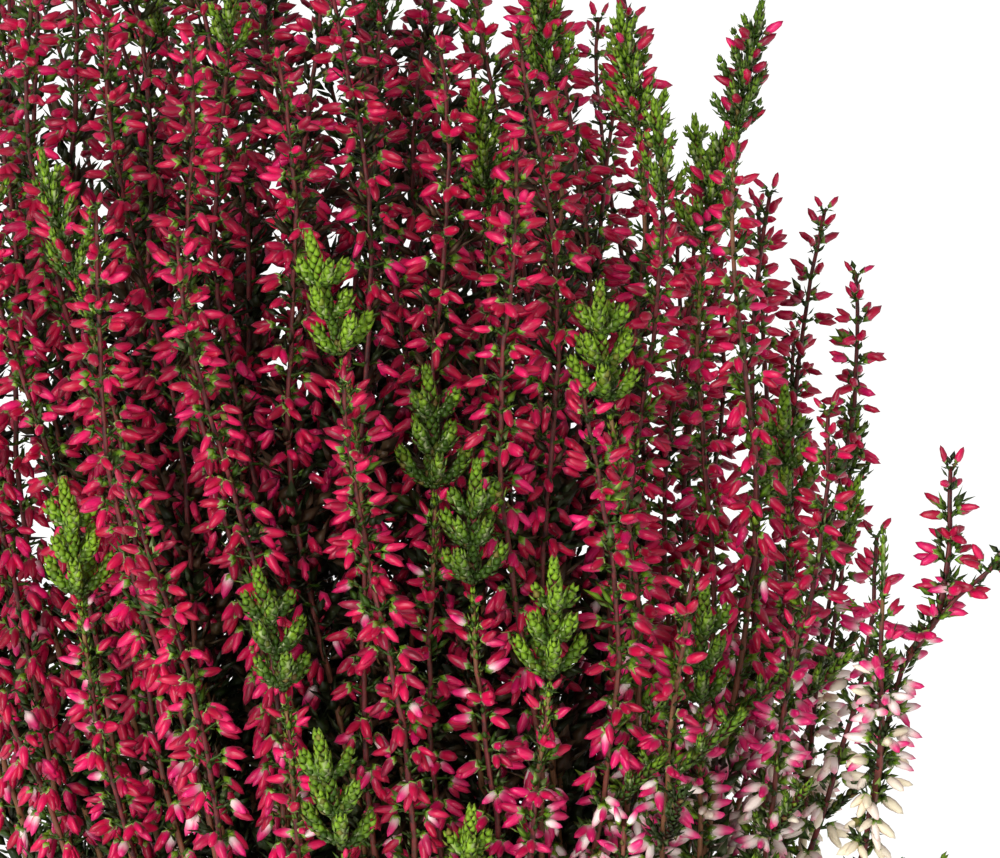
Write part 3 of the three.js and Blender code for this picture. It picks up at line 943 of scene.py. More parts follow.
@dataclass(frozen=True)
class PotPlasticFinish(Finish):
    """Moulded polypropylene: near-black and satin, with faint scuffs and a film of dust."""

    name: str = "moulded_polypropylene"
    roughness: float = 0.46
    ior: float = 1.49
    plastic: str = "#252827"
    worn: str = "#3A3E3C"
    dust: str = "#6E675C"
    scuff: float = 9.0  # length of a scuff
    film: float = 14.0  # size of the dusty patches
    grain: float = 0.5  # the mould's grain, drawn coarser than it is

    def dress(self, tree: bpy.types.NodeTree, shader: bpy.types.Node) -> None:
        """Adds scuffs round the wall, dusty patches and a fine mould grain."""
        place = add_node(tree, "ShaderNodeTexCoord").outputs["Object"]
        long_way = add_node(tree, "ShaderNodeMapping", {"Vector": place, "Scale": (1.0, 1.0, 7.0)})
        scuffs = add_node(tree, "ShaderNodeTexNoise", {"Vector": long_way.outputs["Vector"],
                                                       "Scale": 1 / (self.scuff * MM), "Detail": 6.0})
        dust = add_node(tree, "ShaderNodeTexNoise", {"Vector": place, "Scale": 1 / (self.film * MM),
                                                     "Detail": 8.0})
        grain = add_node(tree, "ShaderNodeTexNoise", {"Vector": place, "Scale": 1 / (self.grain * MM)})
        patterns = {"scuffs": scuffs.outputs["Fac"], "dust": dust.outputs["Fac"]}
        self.paint(tree, shader, patterns, self.plastic, (
            Layer("scuffs", (0.52, 0.72), (0.0, 0.7), self.worn),
            Layer("dust", (0.5, 0.8), (0.0, 0.22), self.dust),
        ))
        rough = add_node(tree, "ShaderNodeMapRange", {
            "Value": scuffs.outputs["Fac"], "From Min": 0.4, "From Max": 0.75,
            "To Min": self.roughness - 0.05, "To Max": self.roughness + 0.16})
        tree.links.new(rough.outputs["Result"], shader.inputs["Roughness"])
        bump = add_node(tree, "ShaderNodeBump", {"Height": grain.outputs["Fac"], "Strength": 0.15,
                                                 "Distance": 0.1 * MM})
        tree.links.new(bump.outputs["Normal"], shader.inputs["Normal"])


@dataclass(frozen=True)
class PeatFinish(Finish):
    """Moist peat: dark and rough, with lighter fibres and crumbs."""

    name: str = "crumbled_peat"
    roughness: float = 0.93
    ior: float = 1.4
    wet: str = "#150D09"
    dry: str = "#3A281C"
    fibre: str = "#7C6248"
    crumb: float = 2.6  # size of a crumb
    clod: float = 6.0  # size of the drier clods

    def dress(self, tree: bpy.types.NodeTree, shader: bpy.types.Node) -> None:
        """Adds crumbs as cells with dark cracks, and pale fibres."""
        place = add_node(tree, "ShaderNodeTexCoord").outputs["Object"]
        crumbs = add_node(tree, "ShaderNodeTexVoronoi", {"Vector": place, "Scale": 1 / (self.crumb * MM)})
        clods = add_node(tree, "ShaderNodeTexNoise", {"Vector": place, "Scale": 1 / (self.clod * MM),
                                                      "Detail": 8.0})
        patterns = {"crumbs": crumbs.outputs["Distance"], "clods": clods.outputs["Fac"]}
        self.paint(tree, shader, patterns, self.wet, (
            Layer("clods", (0.3, 0.7), (0.0, 1.0), self.dry),
            Layer("crumbs", (0.0, 0.25), (0.25, 0.0), self.fibre),
        ))
        bump = add_node(tree, "ShaderNodeBump", {"Height": crumbs.outputs["Distance"], "Strength": 0.9,
                                                 "Distance": 1.0 * MM}, invert=True)
        tree.links.new(bump.outputs["Normal"], shader.inputs["Normal"])


@dataclass(frozen=True)
class FloorFinish(Finish):
    """Matt white studio card, a little uneven, and lit enough to read as pure white."""

    name: str = "white_card"
    roughness: float = 0.9
    card: str = "#F6F6F5"
    shade: str = "#F0F0EE"
    patch: float = 330.0  # size of the uneven patches
    glow: float = 0.54

    def dress(self, tree: bpy.types.NodeTree, shader: bpy.types.Node) -> None:
        """Adds the card's faint unevenness and its glow."""
        place = add_node(tree, "ShaderNodeTexCoord").outputs["Object"]
        uneven = add_node(tree, "ShaderNodeTexNoise", {"Vector": place, "Scale": 1 / (self.patch * MM)})
        self.paint(tree, shader, {"uneven": uneven.outputs["Fac"]}, self.card, (
            Layer("uneven", (0.3, 0.7), (0.0, 1.0), self.shade),
        ))
        shader.inputs["Emission Color"].default_value = (1.0, 1.0, 1.0, 1.0)
        shader.inputs["Emission Strength"].default_value = self.glow


class Wear(Enum):
    """Index of each finish on a piece of the plant."""

    SEPAL = 0
    LEAF = 1
    BARK = 2


# ---------------------------------------------------------------- growth


def faced(along: Array, out: Array) -> Array:
    """Rolls that turn each leaf's keel away from what it grows on.

    Args:
        along: The way each leaf points.
        out: The way outward at each leaf.

    Returns:
        One roll for each leaf.
    """
    frames = frames_along(along, np.zeros(len(along)))
    x = np.einsum("ni,ni->n", frames[:, :, 0], out)
    y = np.einsum("ni,ni->n", frames[:, :, 1], out)
    return np.arctan2(y, x) + np.pi / 2


@dataclass(frozen=True)
class LeafyTwig:
    """A club-shaped twig closely set with overlapping scale leaves."""

    leaf: tuple[float, float, float] = (1.75, 0.8, 2.1)  # width, depth and length
    gap: float = 1.0  # between one whorl of leaves and the next
    per_whorl: int = 4
    core: float = 1.6
    open_angle: float = 0.3

    def dress(self, skin: Skin, path: Array, ages: tuple[float, float], rng: np.random.Generator,
              bark: bool = False) -> None:
        """Adds the twig.

        Args:
            skin: Where its triangles go.
            path: Its middle line, from its foot to its tip.
            ages: Age of its leaves at its foot and at its tip.
            rng: The steady draws.
            bark: True if its core is bark and not green.
        """
        lengths = np.concatenate([[0], np.cumsum(np.linalg.norm(np.diff(path, axis=0), axis=1))])
        whorls = max(3, int(lengths[-1] / self.gap))
        stops = np.linspace(0.06, 1.0, whorls) * lengths[-1]
        line = np.column_stack([np.interp(stops, lengths, path[:, k]) for k in range(3)])
        share = stops / lengths[-1]
        radii = self.core * np.interp(share, (0, 0.35, 0.8, 1), (0.4, 0.75, 1.0, 0.65))
        wear = Wear.BARK if bark else Wear.LEAF
        few = np.linspace(0, whorls - 1, max(3, whorls // 3)).astype(int)
        core_ages = np.zeros(len(few)) if bark else np.interp(share[few], (0, 1), ages)
        thin = 0.6 if bark else 0.8
        skin.tube(line[few], radii[few] * thin, 5, wear.value, rng.random() * 0.8, core_ages)
        index = np.repeat(np.arange(whorls), self.per_whorl)
        step = np.tile(np.arange(self.per_whorl), whorls)
        turns = (index * 0.5 + step) * 2 * np.pi / self.per_whorl + rng.normal(0, 0.14, len(index))
        tangents = unit(np.gradient(line, axis=0))
        frames = frames_along(tangents, np.zeros(whorls))[index]
        out = frames[:, :, 0] * np.cos(turns)[:, None] + frames[:, :, 1] * np.sin(turns)[:, None]
        angles = self.open_angle * np.clip((1 - share[index]) * 5, 0.3, 1)
        angles = angles * rng.uniform(0.75, 1.3, len(index))
        along = tangents[index] * np.cos(angles)[:, None] + out * np.sin(angles)[:, None]
        at = line[index] + out * (radii[index] * 0.6)[:, None]
        grown = np.interp(share[index], (0, 0.3, 0.9, 1), (0.75, 1, 1, 0.8))
        grown = grown * rng.uniform(0.88, 1.12, len(index))
        sizes = grown[:, None] * np.array(self.leaf)
        age = np.interp(share[index], (0, 1), ages) + rng.normal(0, 0.05, len(index))
        skin.strew(LEAF, Wear.LEAF.value, at, along, faced(along, out), sizes, rng.random(len(index)), age)


@dataclass(frozen=True)
class LeafySprig:
    """Green growth: a leafy leader with whorls of club-shaped side twigs."""

    first: float = 0.1  # share of the height at which the side twigs start
    last: float = 0.6
    whorl_gap: float = 3.3
    per_whorl: int = 4
    twig_length: float = 8.6
    shorter: float = 0.35  # how much shorter the highest side twigs are
    twig: LeafyTwig = LeafyTwig()
    leader: LeafyTwig = LeafyTwig(core=1.5)
    lean_out: float = 0.95

    def dress(self, skin: Skin, route: Route, low: float, top: float, age: float,
              rng: np.random.Generator) -> None:
        """Adds the sprig.

        Args:
            skin: Where its triangles go.
            route: The stem that it grows on.
            low: Its lowest height.
            top: Its highest height.
            age: Age of its tips.
            rng: The steady draws.
        """
        tall = top - low
        line = route(np.linspace(low, top - 1.2, 14))
        self.leader.dress(skin, line, (min(1, age + 0.4), age), rng, bark=True)
        whorls = max(2, int((self.last - self.first) * tall / self.whorl_gap))
        t = np.linspace(0, 1, 7)
        reach = self.lean_out * (1.1 * t - 0.34 * t * t)
        rise = 0.4 * t + 0.34 * t * t
        for k in range(whorls):
            share = self.first + (self.last - self.first) * k / (whorls - 1)
            for j in range(self.per_whorl):
                turn = (j + 0.5 * k) * 2 * math.pi / self.per_whorl + rng.normal(0, 0.22)
                z = low + share * tall + rng.uniform(-0.5, 0.5)
                length = self.twig_length * (1 - self.shorter * share / self.last) * rng.uniform(0.72, 1.1)
                length = min(length, (top - z) * 0.9)
                path = route(z) + length * (radial(np.array([turn])) * reach[:, None] + UP * rise[:, None])
                self.twig.dress(skin, path, (min(1, age + 0.36), age + 0.03 * rng.random()), rng)


@dataclass(frozen=True)
class SideTwigs:
    """Short leafy side twigs that fill the bush between its stems."""

    shape: Shape = SHORT_TWIG
    gap: float = 5.0  # between one ring of them and the next
    per_ring: int = 2
    ring_turn: float = 1.3  # how far each ring is turned from the one below
    length: tuple[float, float] = (7.0, 12.0)
    width: float = 2.5
    rise: tuple[float, float] = (0.35, 1.0)
    foot: float = 0.6  # how far from the stem's middle they start

    def dress(self, skin: Skin, route: Route, low: float, high: float, ages: tuple[float, float],
              rng: np.random.Generator) -> None:
        """Adds them along a stretch of stem.

        Args:
            skin: Where their triangles go.
            route: The stem.
            low: Where the stretch starts.
            high: Where it ends.
            ages: Least and greatest age of their leaves.
            rng: The steady draws.
        """
        rings = int((high - low) / self.gap)
        if rings < 1:
            return
        count = rings * self.per_ring
        z = np.repeat(low + self.gap * (np.arange(rings) + 0.5), self.per_ring) + rng.uniform(-2, 2, count)
        turns = np.arange(count) * 2 * np.pi / self.per_ring
        turns = turns + np.repeat(np.arange(rings) * self.ring_turn, self.per_ring)
        turns = turns + rng.normal(0, 0.35, count)
        ways = leaning(turns, rng.uniform(*self.rise, count))
        lengths = rng.uniform(*self.length, count)
        width = self.width * rng.uniform(0.85, 1.15, count)
        at = route(z) + radial(turns) * self.foot
        sizes = np.column_stack([width, width, lengths])
        skin.strew(self.shape, Wear.LEAF.value, at, ways, rng.uniform(0, np.pi, count), sizes,
                   rng.random(count) * 0.9, rng.uniform(*ages, count))


FINE_TWIG = LeafyTwig(leaf=(1.25, 0.55, 2.3), gap=1.15, core=0.9, open_angle=0.34)
FINE_LEADER = LeafyTwig(leaf=(1.3, 0.55, 2.5), gap=1.15, core=0.95, open_angle=0.34)
FEATHERY_TIP = LeafySprig(first=0.03, last=0.72, whorl_gap=2.7, twig_length=7.6, shorter=0.5, lean_out=0.86,
                          twig=FINE_TWIG, leader=FINE_LEADER)
FEATHERY_TOP = LeafySprig(first=0.03, last=0.7, whorl_gap=3.0, per_whorl=3, twig_length=6.4, shorter=0.5,
                          lean_out=0.86, twig=FINE_TWIG, leader=FINE_LEADER)
SIDE_SPRAY = LeafySprig(first=0.1, last=0.8, whorl_gap=2.6, per_whorl=2, twig_length=5.4, shorter=0.4,
                        lean_out=0.8, twig=FINE_TWIG, leader=FINE_LEADER)


@dataclass(frozen=True)
class Fading:
    """How buds fade: low ones from their foot, most on the right, where they turn to cream."""

    low: tuple[float, float] = (218.0, 55.0)  # height where it begins, and within how much height it is full
    right: tuple[float, float] = (-15.0, 75.0)  # the same going right
    least_right: float = 0.1
    most: float = 0.88
    edge_low: tuple[float, float] = (232.0, 20.0)  # the right edge fades more
    edge_right: tuple[float, float] = (64.0, 18.0)
    edge_most: float = 0.42
    varies: float = 0.12
    some_low: tuple[float, float] = (245.0, 60.0)  # a few low buds have pale feet wherever they are
    some: float = 0.16
    some_pale: tuple[float, float] = (0.2, 0.5)

    def paleness(self, at: Array, rng: np.random.Generator) -> Array:
        """How pale the buds are.

        Args:
            at: Where the buds start.
            rng: The steady draws.

        Returns:
            One number for each bud, 0 for full crimson and 1 for cream.
        """
        x, z = at[:, 0], at[:, 2]
        low = np.clip((self.low[0] - z) / self.low[1], 0, 1)
        right = np.clip((x - self.right[0]) / self.right[1], self.least_right, 1)
        edge = np.clip((x - self.edge_right[0]) / self.edge_right[1], 0, 1)
        edge = edge * np.clip((self.edge_low[0] - z) / self.edge_low[1], 0, 1)
        pale = self.most * low * right + self.edge_most * edge
        pale = pale + rng.normal(0, self.varies, len(at)) * np.maximum(low, edge)
        some = rng.random(len(at)) < self.some * np.clip((self.some_low[0] - z) / self.some_low[1], 0, 1)
        return np.clip(pale + rng.uniform(*self.some_pale, len(at)) * some, 0, 1)


@dataclass(frozen=True)
class Growth:
    """One spike while it is built: its skin, its steady draws and the stretch that carries its buds."""

    spike: Spike
    skin: Skin
    rng: np.random.Generator
    from_soil: bool  # true if the stem starts in the soil, false if it leaves a fork
    end: float  # height at which the buds end
    zone: float  # length of the stretch with buds
    built: float  # as much of that as is built


@dataclass(frozen=True)
class Branchlets:
    """The branchlets of one spike, which carry its buds."""

    old: Array  # 0 for the youngest and 1 for the oldest
    turns: Array
    feet: Array
    ends: Array


@dataclass(frozen=True)
class FlowerSpike:
    """A flower spike: ridged stem, paired branchlets with fans of buds, bracts and small leaves."""

    seed: int = 1000
    node_gap: float = 4.7  # between one pair of branchlets and the next
    stray_gap: float = 4.3  # the same on the stray branch
    bud_length: float = 5.1
    bud_width: float = 2.05
    branchlet: tuple[float, float] = (1.2, 2.7)  # youngest and oldest
    cup: tuple[float, float, float] = (2.0, 2.0, 1.7)  # width, depth and length of the bracts that hold a bud
    leaf: tuple[float, float, float] = (1.15, 0.5, 2.1)
    # Chances of one bud on a branchlet, of two and so on
    front_buds: tuple[float, ...] = (0.06, 0.42, 0.42, 0.1)
    back_buds: tuple[float, ...] = (0.38, 0.5, 0.12, 0.0)
    low_fuller: float = 1.0  # chance of one more bud on the low branchlets in front
    full_below: float = 235.0  # height below which that chance grows
    left_higher: float = 60.0  # how much further up the left side is as full
    zone: float = 150.0  # length of the stretch with buds
    inner_zone: float = 124.0  # as much of the zone as is built where other spikes hide the rest
    green: dict[End, float] = field(default_factory=lambda: {
        End.PLAIN: 0.0, End.LOW: 0.0, End.FINE: 11.0, End.LEAFY: 18.0, End.TIP: TIP_LENGTH})
    hole_depth: float = 14.7
    stem_radius: float = 1.8
    twig_radius: float = 0.88
    bud_stem_radius: float = 0.68
    end_radius: float = 0.42
    stem_step: float = 6.5
    fork_root: float = 1.5
    crooked: float = 0.3  # how far the stem kinks at its nodes
    inner_radius: float = 62.0  # spikes nearer the axis than this are hidden below their top
    shown_depth: float = 70.0  # depth below its top at which an inner spike is hidden
    shown_side: float = -0.15  # buds that point further back than this into the bush are hidden too
    back_painted_shade: float = 0.75  # how much darker the buds at the back are painted, as painted shade
    fine_front: float = 5.0  # spikes in front of this wear the finer buds
    full_right: float = 22.0  # outer spikes further right than this are full at the back too
    brown_right: tuple[float, float] = (0.45, 0.1)  # how brown stems are low on the right and at its edge
    top_sprig: LeafySprig = FEATHERY_TOP
    sleeve: LeafyTwig = LeafyTwig(leaf=(1.1, 0.5, 2.0), gap=1.6, per_whorl=3, core=0.75, open_angle=0.35)
    sleeve_length: float = 17.0  # of small leaves that clothe the stem under a green tip
    twigs: SideTwigs = SideTwigs(SIDE_TWIG, width=4.4)
    # The inner and deep twigs wear the oldest, near-black leaf colour: painted shade that fills the inside of
    # the bush.
    inner_twigs: SideTwigs = SideTwigs(SIDE_TWIG, length=(8.0, 12.0), width=5.4)
    inner_fill: SideTwigs = SideTwigs(gap=6.0, length=(4.8, 7.8), width=3.5)
    deep_fill: SideTwigs = SideTwigs(gap=6.0, length=(7.0, 10.5), width=5.4)
    deep_from: float = 12.0  # spikes further back than this have the deep ones
    among_twigs: SideTwigs = SideTwigs(gap=9.0, per_ring=1, length=(3.5, 6.5), width=3.6)
    back_twigs: SideTwigs = SideTwigs(gap=5.8, length=(4.5, 8.0), width=4.6)
    stray_twigs: SideTwigs = SideTwigs(gap=3.1, length=(2.8, 5.0), width=3.0)
    low_twigs: SideTwigs = SideTwigs(SIDE_TWIG, gap=6.0, length=(9.0, 14.0), width=5.5)
    thin_twigs: SideTwigs = SideTwigs(gap=5.8, length=(8.0, 12.5), width=5.5)
    thin_side: float = -58.0  # spikes further left and back than this stand thin and have more twigs
    thin_back: float = -8.0
    inner_twig_depth: float = 84.0  # depth below its top at which the twigs of an inner spike begin
    tip_buds: int = 21  # on a high green tip
    tip_buds_reach: float = 17.0
    fading: Fading = Fading()
    side_spray: LeafySprig = SIDE_SPRAY
    side_spray_length: float = 13.5
    side_spray_lean: float = 1.1
    side_spray_levels: tuple[float, ...] = (150.0, 166.0, 182.0, 198.0)
    side_spray_across: tuple[float, float] = (30.0, 84.0)  # how far right they grow
    side_spray_back: float = 12.0  # none grow further back than this
    side_spray_missing: float = 0.42  # share of their places that stay free

    def dress(self, spike: Spike, skin: Skin, from_soil: bool) -> None:
        """Adds one spike.

        Args:
            spike: The spike.
            skin: Where its triangles go.
            from_soil: True if its stem starts in the soil, false if it leaves a fork.
        """
        rng = np.random.default_rng(self.seed + spike.number)
        end = spike.top - self.green[spike.end]
        zone = min(self.zone - self.green[spike.end], end - spike.start - spike.bare)
        built = min(zone, self.inner_zone) if self._is_inner(spike) else zone
        growth = Growth(spike, skin, rng, from_soil, end, zone, built)
        self._add_stem(growth)
        self._add_buds(growth, self._add_branchlets(growth))
        self._add_leaves(growth)
        self._add_twigs(growth)
        if spike.end is End.TIP:
            path = spike.route(np.linspace(end - self.sleeve_length, end, 5))
            self.sleeve.dress(skin, path, (0.5, 0.2), rng, bark=True)
        if spike.end is End.FINE:
            self.sleeve.dress(skin, spike.route(np.linspace(end - 2, spike.top, 4)), (0.6, 0.25), rng)
        if spike.end is End.LEAFY:
            self.top_sprig.dress(skin, spike.route, end - 1, spike.top, 0.05 + 0.35 * rng.random(), rng)

    def dress_tip(self, spike: Spike, skin: Skin, low: float, rng: np.random.Generator) -> None:
        """Adds the few buds that stand among the green of a high tip.

        Args:
            spike: The spike.
            skin: Where their triangles go.
            low: Height at which the tip begins.
            rng: The steady draws.
        """
        z = np.sort(rng.uniform(low, low + self.tip_buds_reach, self.tip_buds))
        turns = np.arange(self.tip_buds) * 2.2 + rng.normal(0, 0.3, self.tip_buds)
        ways = leaning(turns, rng.uniform(0.2, 0.8, self.tip_buds))
        at = spike.route(z) + ways * rng.uniform(1.5, 3.0, self.tip_buds)[:, None]
        size = rng.uniform(0.72, 0.98, self.tip_buds)
        rolls = rng.uniform(0, 2 * np.pi, self.tip_buds)
        buds = size[:, None] * np.array([self.bud_width, self.bud_width, self.bud_length])
        cups = size[:, None] * np.array(self.cup)
        shades = rng.random(self.tip_buds)
        skin.strew(BUD, Wear.SEPAL.value, at, ways, rolls, buds, shades, np.zeros(self.tip_buds))
        ages = rng.uniform(0.2, 0.7, self.tip_buds)
        skin.strew(CUP, Wear.LEAF.value, at - ways * 0.3, ways, rolls, cups, shades, ages)

    def _is_inner(self, spike: Spike) -> bool:
        """True for a spike that others hide below its top."""
        return spike.spray >= 0 and math.hypot(*spike.place) < self.inner_radius

    def _is_front(self, spike: Spike) -> bool:
        """True for a spike near enough to the front to wear the finer buds."""
        return spike.place[1] < self.fine_front

    def _is_full(self, spike: Spike) -> bool:
        """True for a spike with full fans of buds and few leafy twigs among them."""
        return self._is_front(spike) or (spike.place[0] > self.full_right and not self._is_inner(spike))

    def _shown(self, spike: Spike, depths: Array, ways: Array) -> Array:
        """Which buds can be seen from outside the bush.

        Args:
            spike: The spike.
            depths: How far below its top each bud is.
            ways: The way each bud points.

        Returns:
            True or false for each bud.
        """
        high = depths < self.shown_depth
        if spike.spray < 0:
            return np.ones(len(depths), bool)
        if self._is_inner(spike):
            return high
        return high | (ways[:, :2] @ (spike.place / math.hypot(*spike.place)) > self.shown_side)

    def _add_stem(self, growth: Growth) -> None:
        """Adds the ridged stem, thick at the soil and thin and slightly crooked at its end.

        Args:
            growth: The spike while it is built.
        """
        spike, rng, end, zone = growth.spike, growth.rng, growth.end, growth.zone
        low = SOIL_LEVEL - self.hole_depth if growth.from_soil else spike.start - self.fork_root
        top = end - (0.8 if spike.end in (End.PLAIN, End.LOW) else 0.0)
        z = np.linspace(low, top, max(6, int((top - low) / self.stem_step)))
        foot = self.stem_radius if growth.from_soil else self.twig_radius
        radii = np.interp(z, [low, spike.start, end - zone, top],
                          [foot, max(foot * 0.65, self.twig_radius), self.bud_stem_radius, self.end_radius])
        ages = np.clip((end - zone * 0.6 - z) / 110, 0, 1)
        path = spike.route(z)
        kinks = rng.uniform(-self.crooked, self.crooked, (len(z), 2))
        path[2:-1, :2] += kinks[2:-1]
        right = np.interp(path[:, 0], (20, 50, 70), (0, *self.brown_right)) * np.interp(z, (205, 240), (1, 0))
        ages = np.maximum(ages, right)
        shade = 1.0 if spike.end in (End.TIP, End.FINE) else 0.8 * rng.random()
        growth.skin.tube(path, radii, 5, Wear.BARK.value, shade, ages)

    def _add_branchlets(self, growth: Growth) -> Branchlets:
        """Adds the paired branchlets with their small leaves.

        Args:
            growth: The spike while it is built.

        Returns:
            The branchlets.
        """
        spike, rng, end, built = growth.spike, growth.rng, growth.end, growth.built
        pairs = max(2, int(built / (self.stray_gap if spike.spray < 0 else self.node_gap)))
        z = end - 1.5 - built * (np.arange(pairs) / pairs) ** 1.04 + rng.uniform(-0.9, 0.9, pairs)
        turns = spike.number * 2.4 + np.arange(pairs) * np.pi / 2 + rng.normal(0, 0.3, pairs)
        z = np.repeat(z, 2)
        turns = np.repeat(turns, 2) + np.tile([0, np.pi], pairs) + rng.normal(0, 0.25, 2 * pairs)
        old = np.clip((end - z) / self.zone, 0, 1)
        lengths = np.interp(old, (0, 0.3), self.branchlet) * rng.uniform(0.75, 1.15, len(z))
        ways = leaning(turns, np.interp(old, (0, 0.2, 1), (0.9, 0.45, 0.1)) + rng.normal(0, 0.15, len(z)))
        feet = spike.route(z)
        ends = feet + ways * lengths[:, None]
        shades = rng.random(len(z)) * 0.8
        thick = np.full(len(z), 0.75)
        sizes = np.column_stack([thick, thick, lengths])
        growth.skin.strew(STALK, Wear.LEAF.value, feet, ways, shades, sizes, shades, np.full(len(z), 0.5))
        branchlets = Branchlets(old, turns, feet, ends)
        self._add_branchlet_leaves(growth, branchlets)
        return branchlets

    def _bud_counts(self, growth: Growth, branchlets: Branchlets) -> Array:
        """Number of buds on each branchlet: most low in front, and fewest at the young end.

        Args:
            growth: The spike while it is built.
            branchlets: Its branchlets.

        Returns:
            One number for each branchlet.
        """
        spike, rng = growth.spike, growth.rng
        z, old = branchlets.feet[:, 2], branchlets.old
        chances = self.front_buds if self._is_full(spike) else self.back_buds
        counts = rng.choice([1, 2, 3, 4], len(z), p=chances)
        if self._is_front(spike) and not self._is_inner(spike):
            below = self.full_below + self.left_higher * min(1.0, max(0.0, -spike.place[0] / 50))
            counts = counts + (rng.random(len(z)) < self.low_fuller * np.clip((below - z) / 50, 0, 1))
        return np.where(old < 0.03, 1, np.where(old < 0.1, np.minimum(counts, 2), counts))

    def _bud_shades(self, growth: Growth, count: int) -> Array:
        """Colour draws of a spike's buds: painted darker at the back as painted shade, except far right.

        Args:
            growth: The spike while it is built.
            count: Number of buds.

        Returns:
            One number for each bud, 0..1.
        """
        own = 0.25 * chance(growth.spike.number, Draw.TINT)
        shades = np.clip(growth.rng.random(count) * 0.75 + own, 0, 1)
        x, y = growth.spike.place
        # Spikes at the back, except on the far right, get darker buds: painted shade.
        back = min(1.0, max(0.0, y / 60)) * min(1.0, max(0.0, (50 - x) / 40))
        return shades * (1 - self.back_painted_shade * back)

    def _add_buds(self, growth: Growth, branchlets: Branchlets) -> None:
        """Adds the fan of buds on each branchlet, and the cup of bracts that holds each bud.

        Args:
            growth: The spike while it is built.
            branchlets: Its branchlets.
        """
        spike, skin, rng = growth.spike, growth.skin, growth.rng
        counts = self._bud_counts(growth, branchlets)
        index = np.repeat(np.arange(len(counts)), counts)
        n = len(index)
        old = branchlets.old[index]
        fan = np.arange(n) - np.repeat(np.cumsum(counts) - counts, counts) - (counts[index] - 1) / 2
        turns = branchlets.turns[index] + fan * rng.uniform(0.35, 0.8, n) + rng.normal(0, 0.18, n)
        # The youngest buds stand up and the oldest hang
        level = np.interp(old, (0, 0.06, 0.2, 0.42, 0.8), (1.0, 0.5, -0.08, -0.52, -0.98))
        rises = level + rng.normal(0, 0.25, n) - 0.1 * np.abs(fan)
        along = leaning(turns, np.clip(rises, -1.25, 1.25))
        apart = rng.uniform(-1.1, 1.1, n) * (counts[index] > 1)
        base = branchlets.ends[index] + along * 0.45 + UP * apart[:, None]
        size = np.interp(old, (0, 0.08, 1), (0.62, 0.95, 1.0)) * rng.uniform(0.84, 1.1, n)
        width = self.bud_width * size * rng.uniform(0.86, 1.08, n)
        sizes = np.column_stack([width, width, self.bud_length * size])
        rolls = rng.uniform(0, 2 * np.pi, n)
        shades = self._bud_shades(growth, n)
        pale = self.fading.paleness(base, rng)
        shown = self._shown(spike, growth.end - base[:, 2], along)
        shown_bud, cup = (BUD, CUP) if self._is_front(spike) else (PLAIN_BUD, PLAIN_CUP)
        for shape, which in ((shown_bud, shown), (INNER_BUD, ~shown)):
            skin.strew(shape, Wear.SEPAL.value, base[which], along[which], rolls[which], sizes[which],
                       shades[which], pale[which])
        cups = size[:, None] * np.array(self.cup) * rng.uniform(0.85, 1.15, (n, 1))
        at = base - along * (0.3 * size)[:, None]
        ages = rng.uniform(0.05, 0.42, n)
        skin.strew(cup, Wear.LEAF.value, at[shown], along[shown], rolls[shown] * 2, cups[shown],
                   rng.random(int(shown.sum())), ages[shown])

    def _add_branchlet_leaves(self, growth: Growth, branchlets: Branchlets) -> None:
        """Adds two or three small leaves to each branchlet.

        Args:
            growth: The spike while it is built.
            branchlets: Its branchlets.
        """
        rng, feet = growth.rng, branchlets.feet
        sides = (-1.0, 1.0, 0.3) if self._is_front(growth.spike) else (-1.0, 1.0)
        index = np.repeat(np.arange(len(feet)), len(sides))
        side = np.tile(sides, len(feet))
        t = rng.uniform(0.15, 0.9, len(index))
        at = feet[index] + (branchlets.ends - feet)[index] * t[:, None]
        turns = branchlets.turns[index] + side * rng.uniform(0.4, 1.3, len(index))
        ways = leaning(turns, rng.uniform(-0.3, 1.0, len(index)))
        sizes = rng.uniform(0.7, 1.15, len(index))[:, None] * np.array(self.leaf) * (1.0, 1.0, 0.9)
        growth.skin.strew(LEAF, Wear.LEAF.value, at, ways, faced(ways, radial(turns)), sizes,
                          rng.random(len(index)), rng.uniform(0.4, 0.9, len(index)))

    def _add_leaves(self, growth: Growth) -> None:
        """Adds the small leaves on the stem, below the flowers and among them.

        Args:
            growth: The spike while it is built.
        """
        spike, rng, end = growth.spike, growth.rng, growth.end
        flowers = end - growth.built
        low = POT_HEIGHT if growth.from_soil else spike.start + 3
        among = max(flowers, end - self.shown_depth) if self._is_inner(spike) else flowers
        z = np.concatenate([np.arange(low, flowers, 2.4), np.arange(among, end + 0.4, 2.7)])
        index = np.repeat(np.arange(len(z)), 2)
        turns = index * 1.3 + np.tile([0, np.pi], len(z)) + rng.normal(0, 0.35, len(index))
        heights = z[index] + rng.uniform(-0.6, 0.6, len(index))
        out = radial(turns)
        ways = leaning(turns, rng.uniform(0.45, 1.15, len(index)))
        at = spike.route(heights) + out * 0.5
        below = heights < flowers
        grown = rng.uniform(0.8, 1.25, len(index)) * np.where(below, 1.2, 1.0)
        ages = np.where(below, rng.uniform(0.6, 1.0, len(index)), rng.uniform(0.4, 0.85, len(index)))
        sizes = grown[:, None] * np.array(self.leaf)
        growth.skin.strew(LEAF, Wear.LEAF.value, at, ways, faced(ways, out), sizes,
                          rng.random(len(index)), ages)

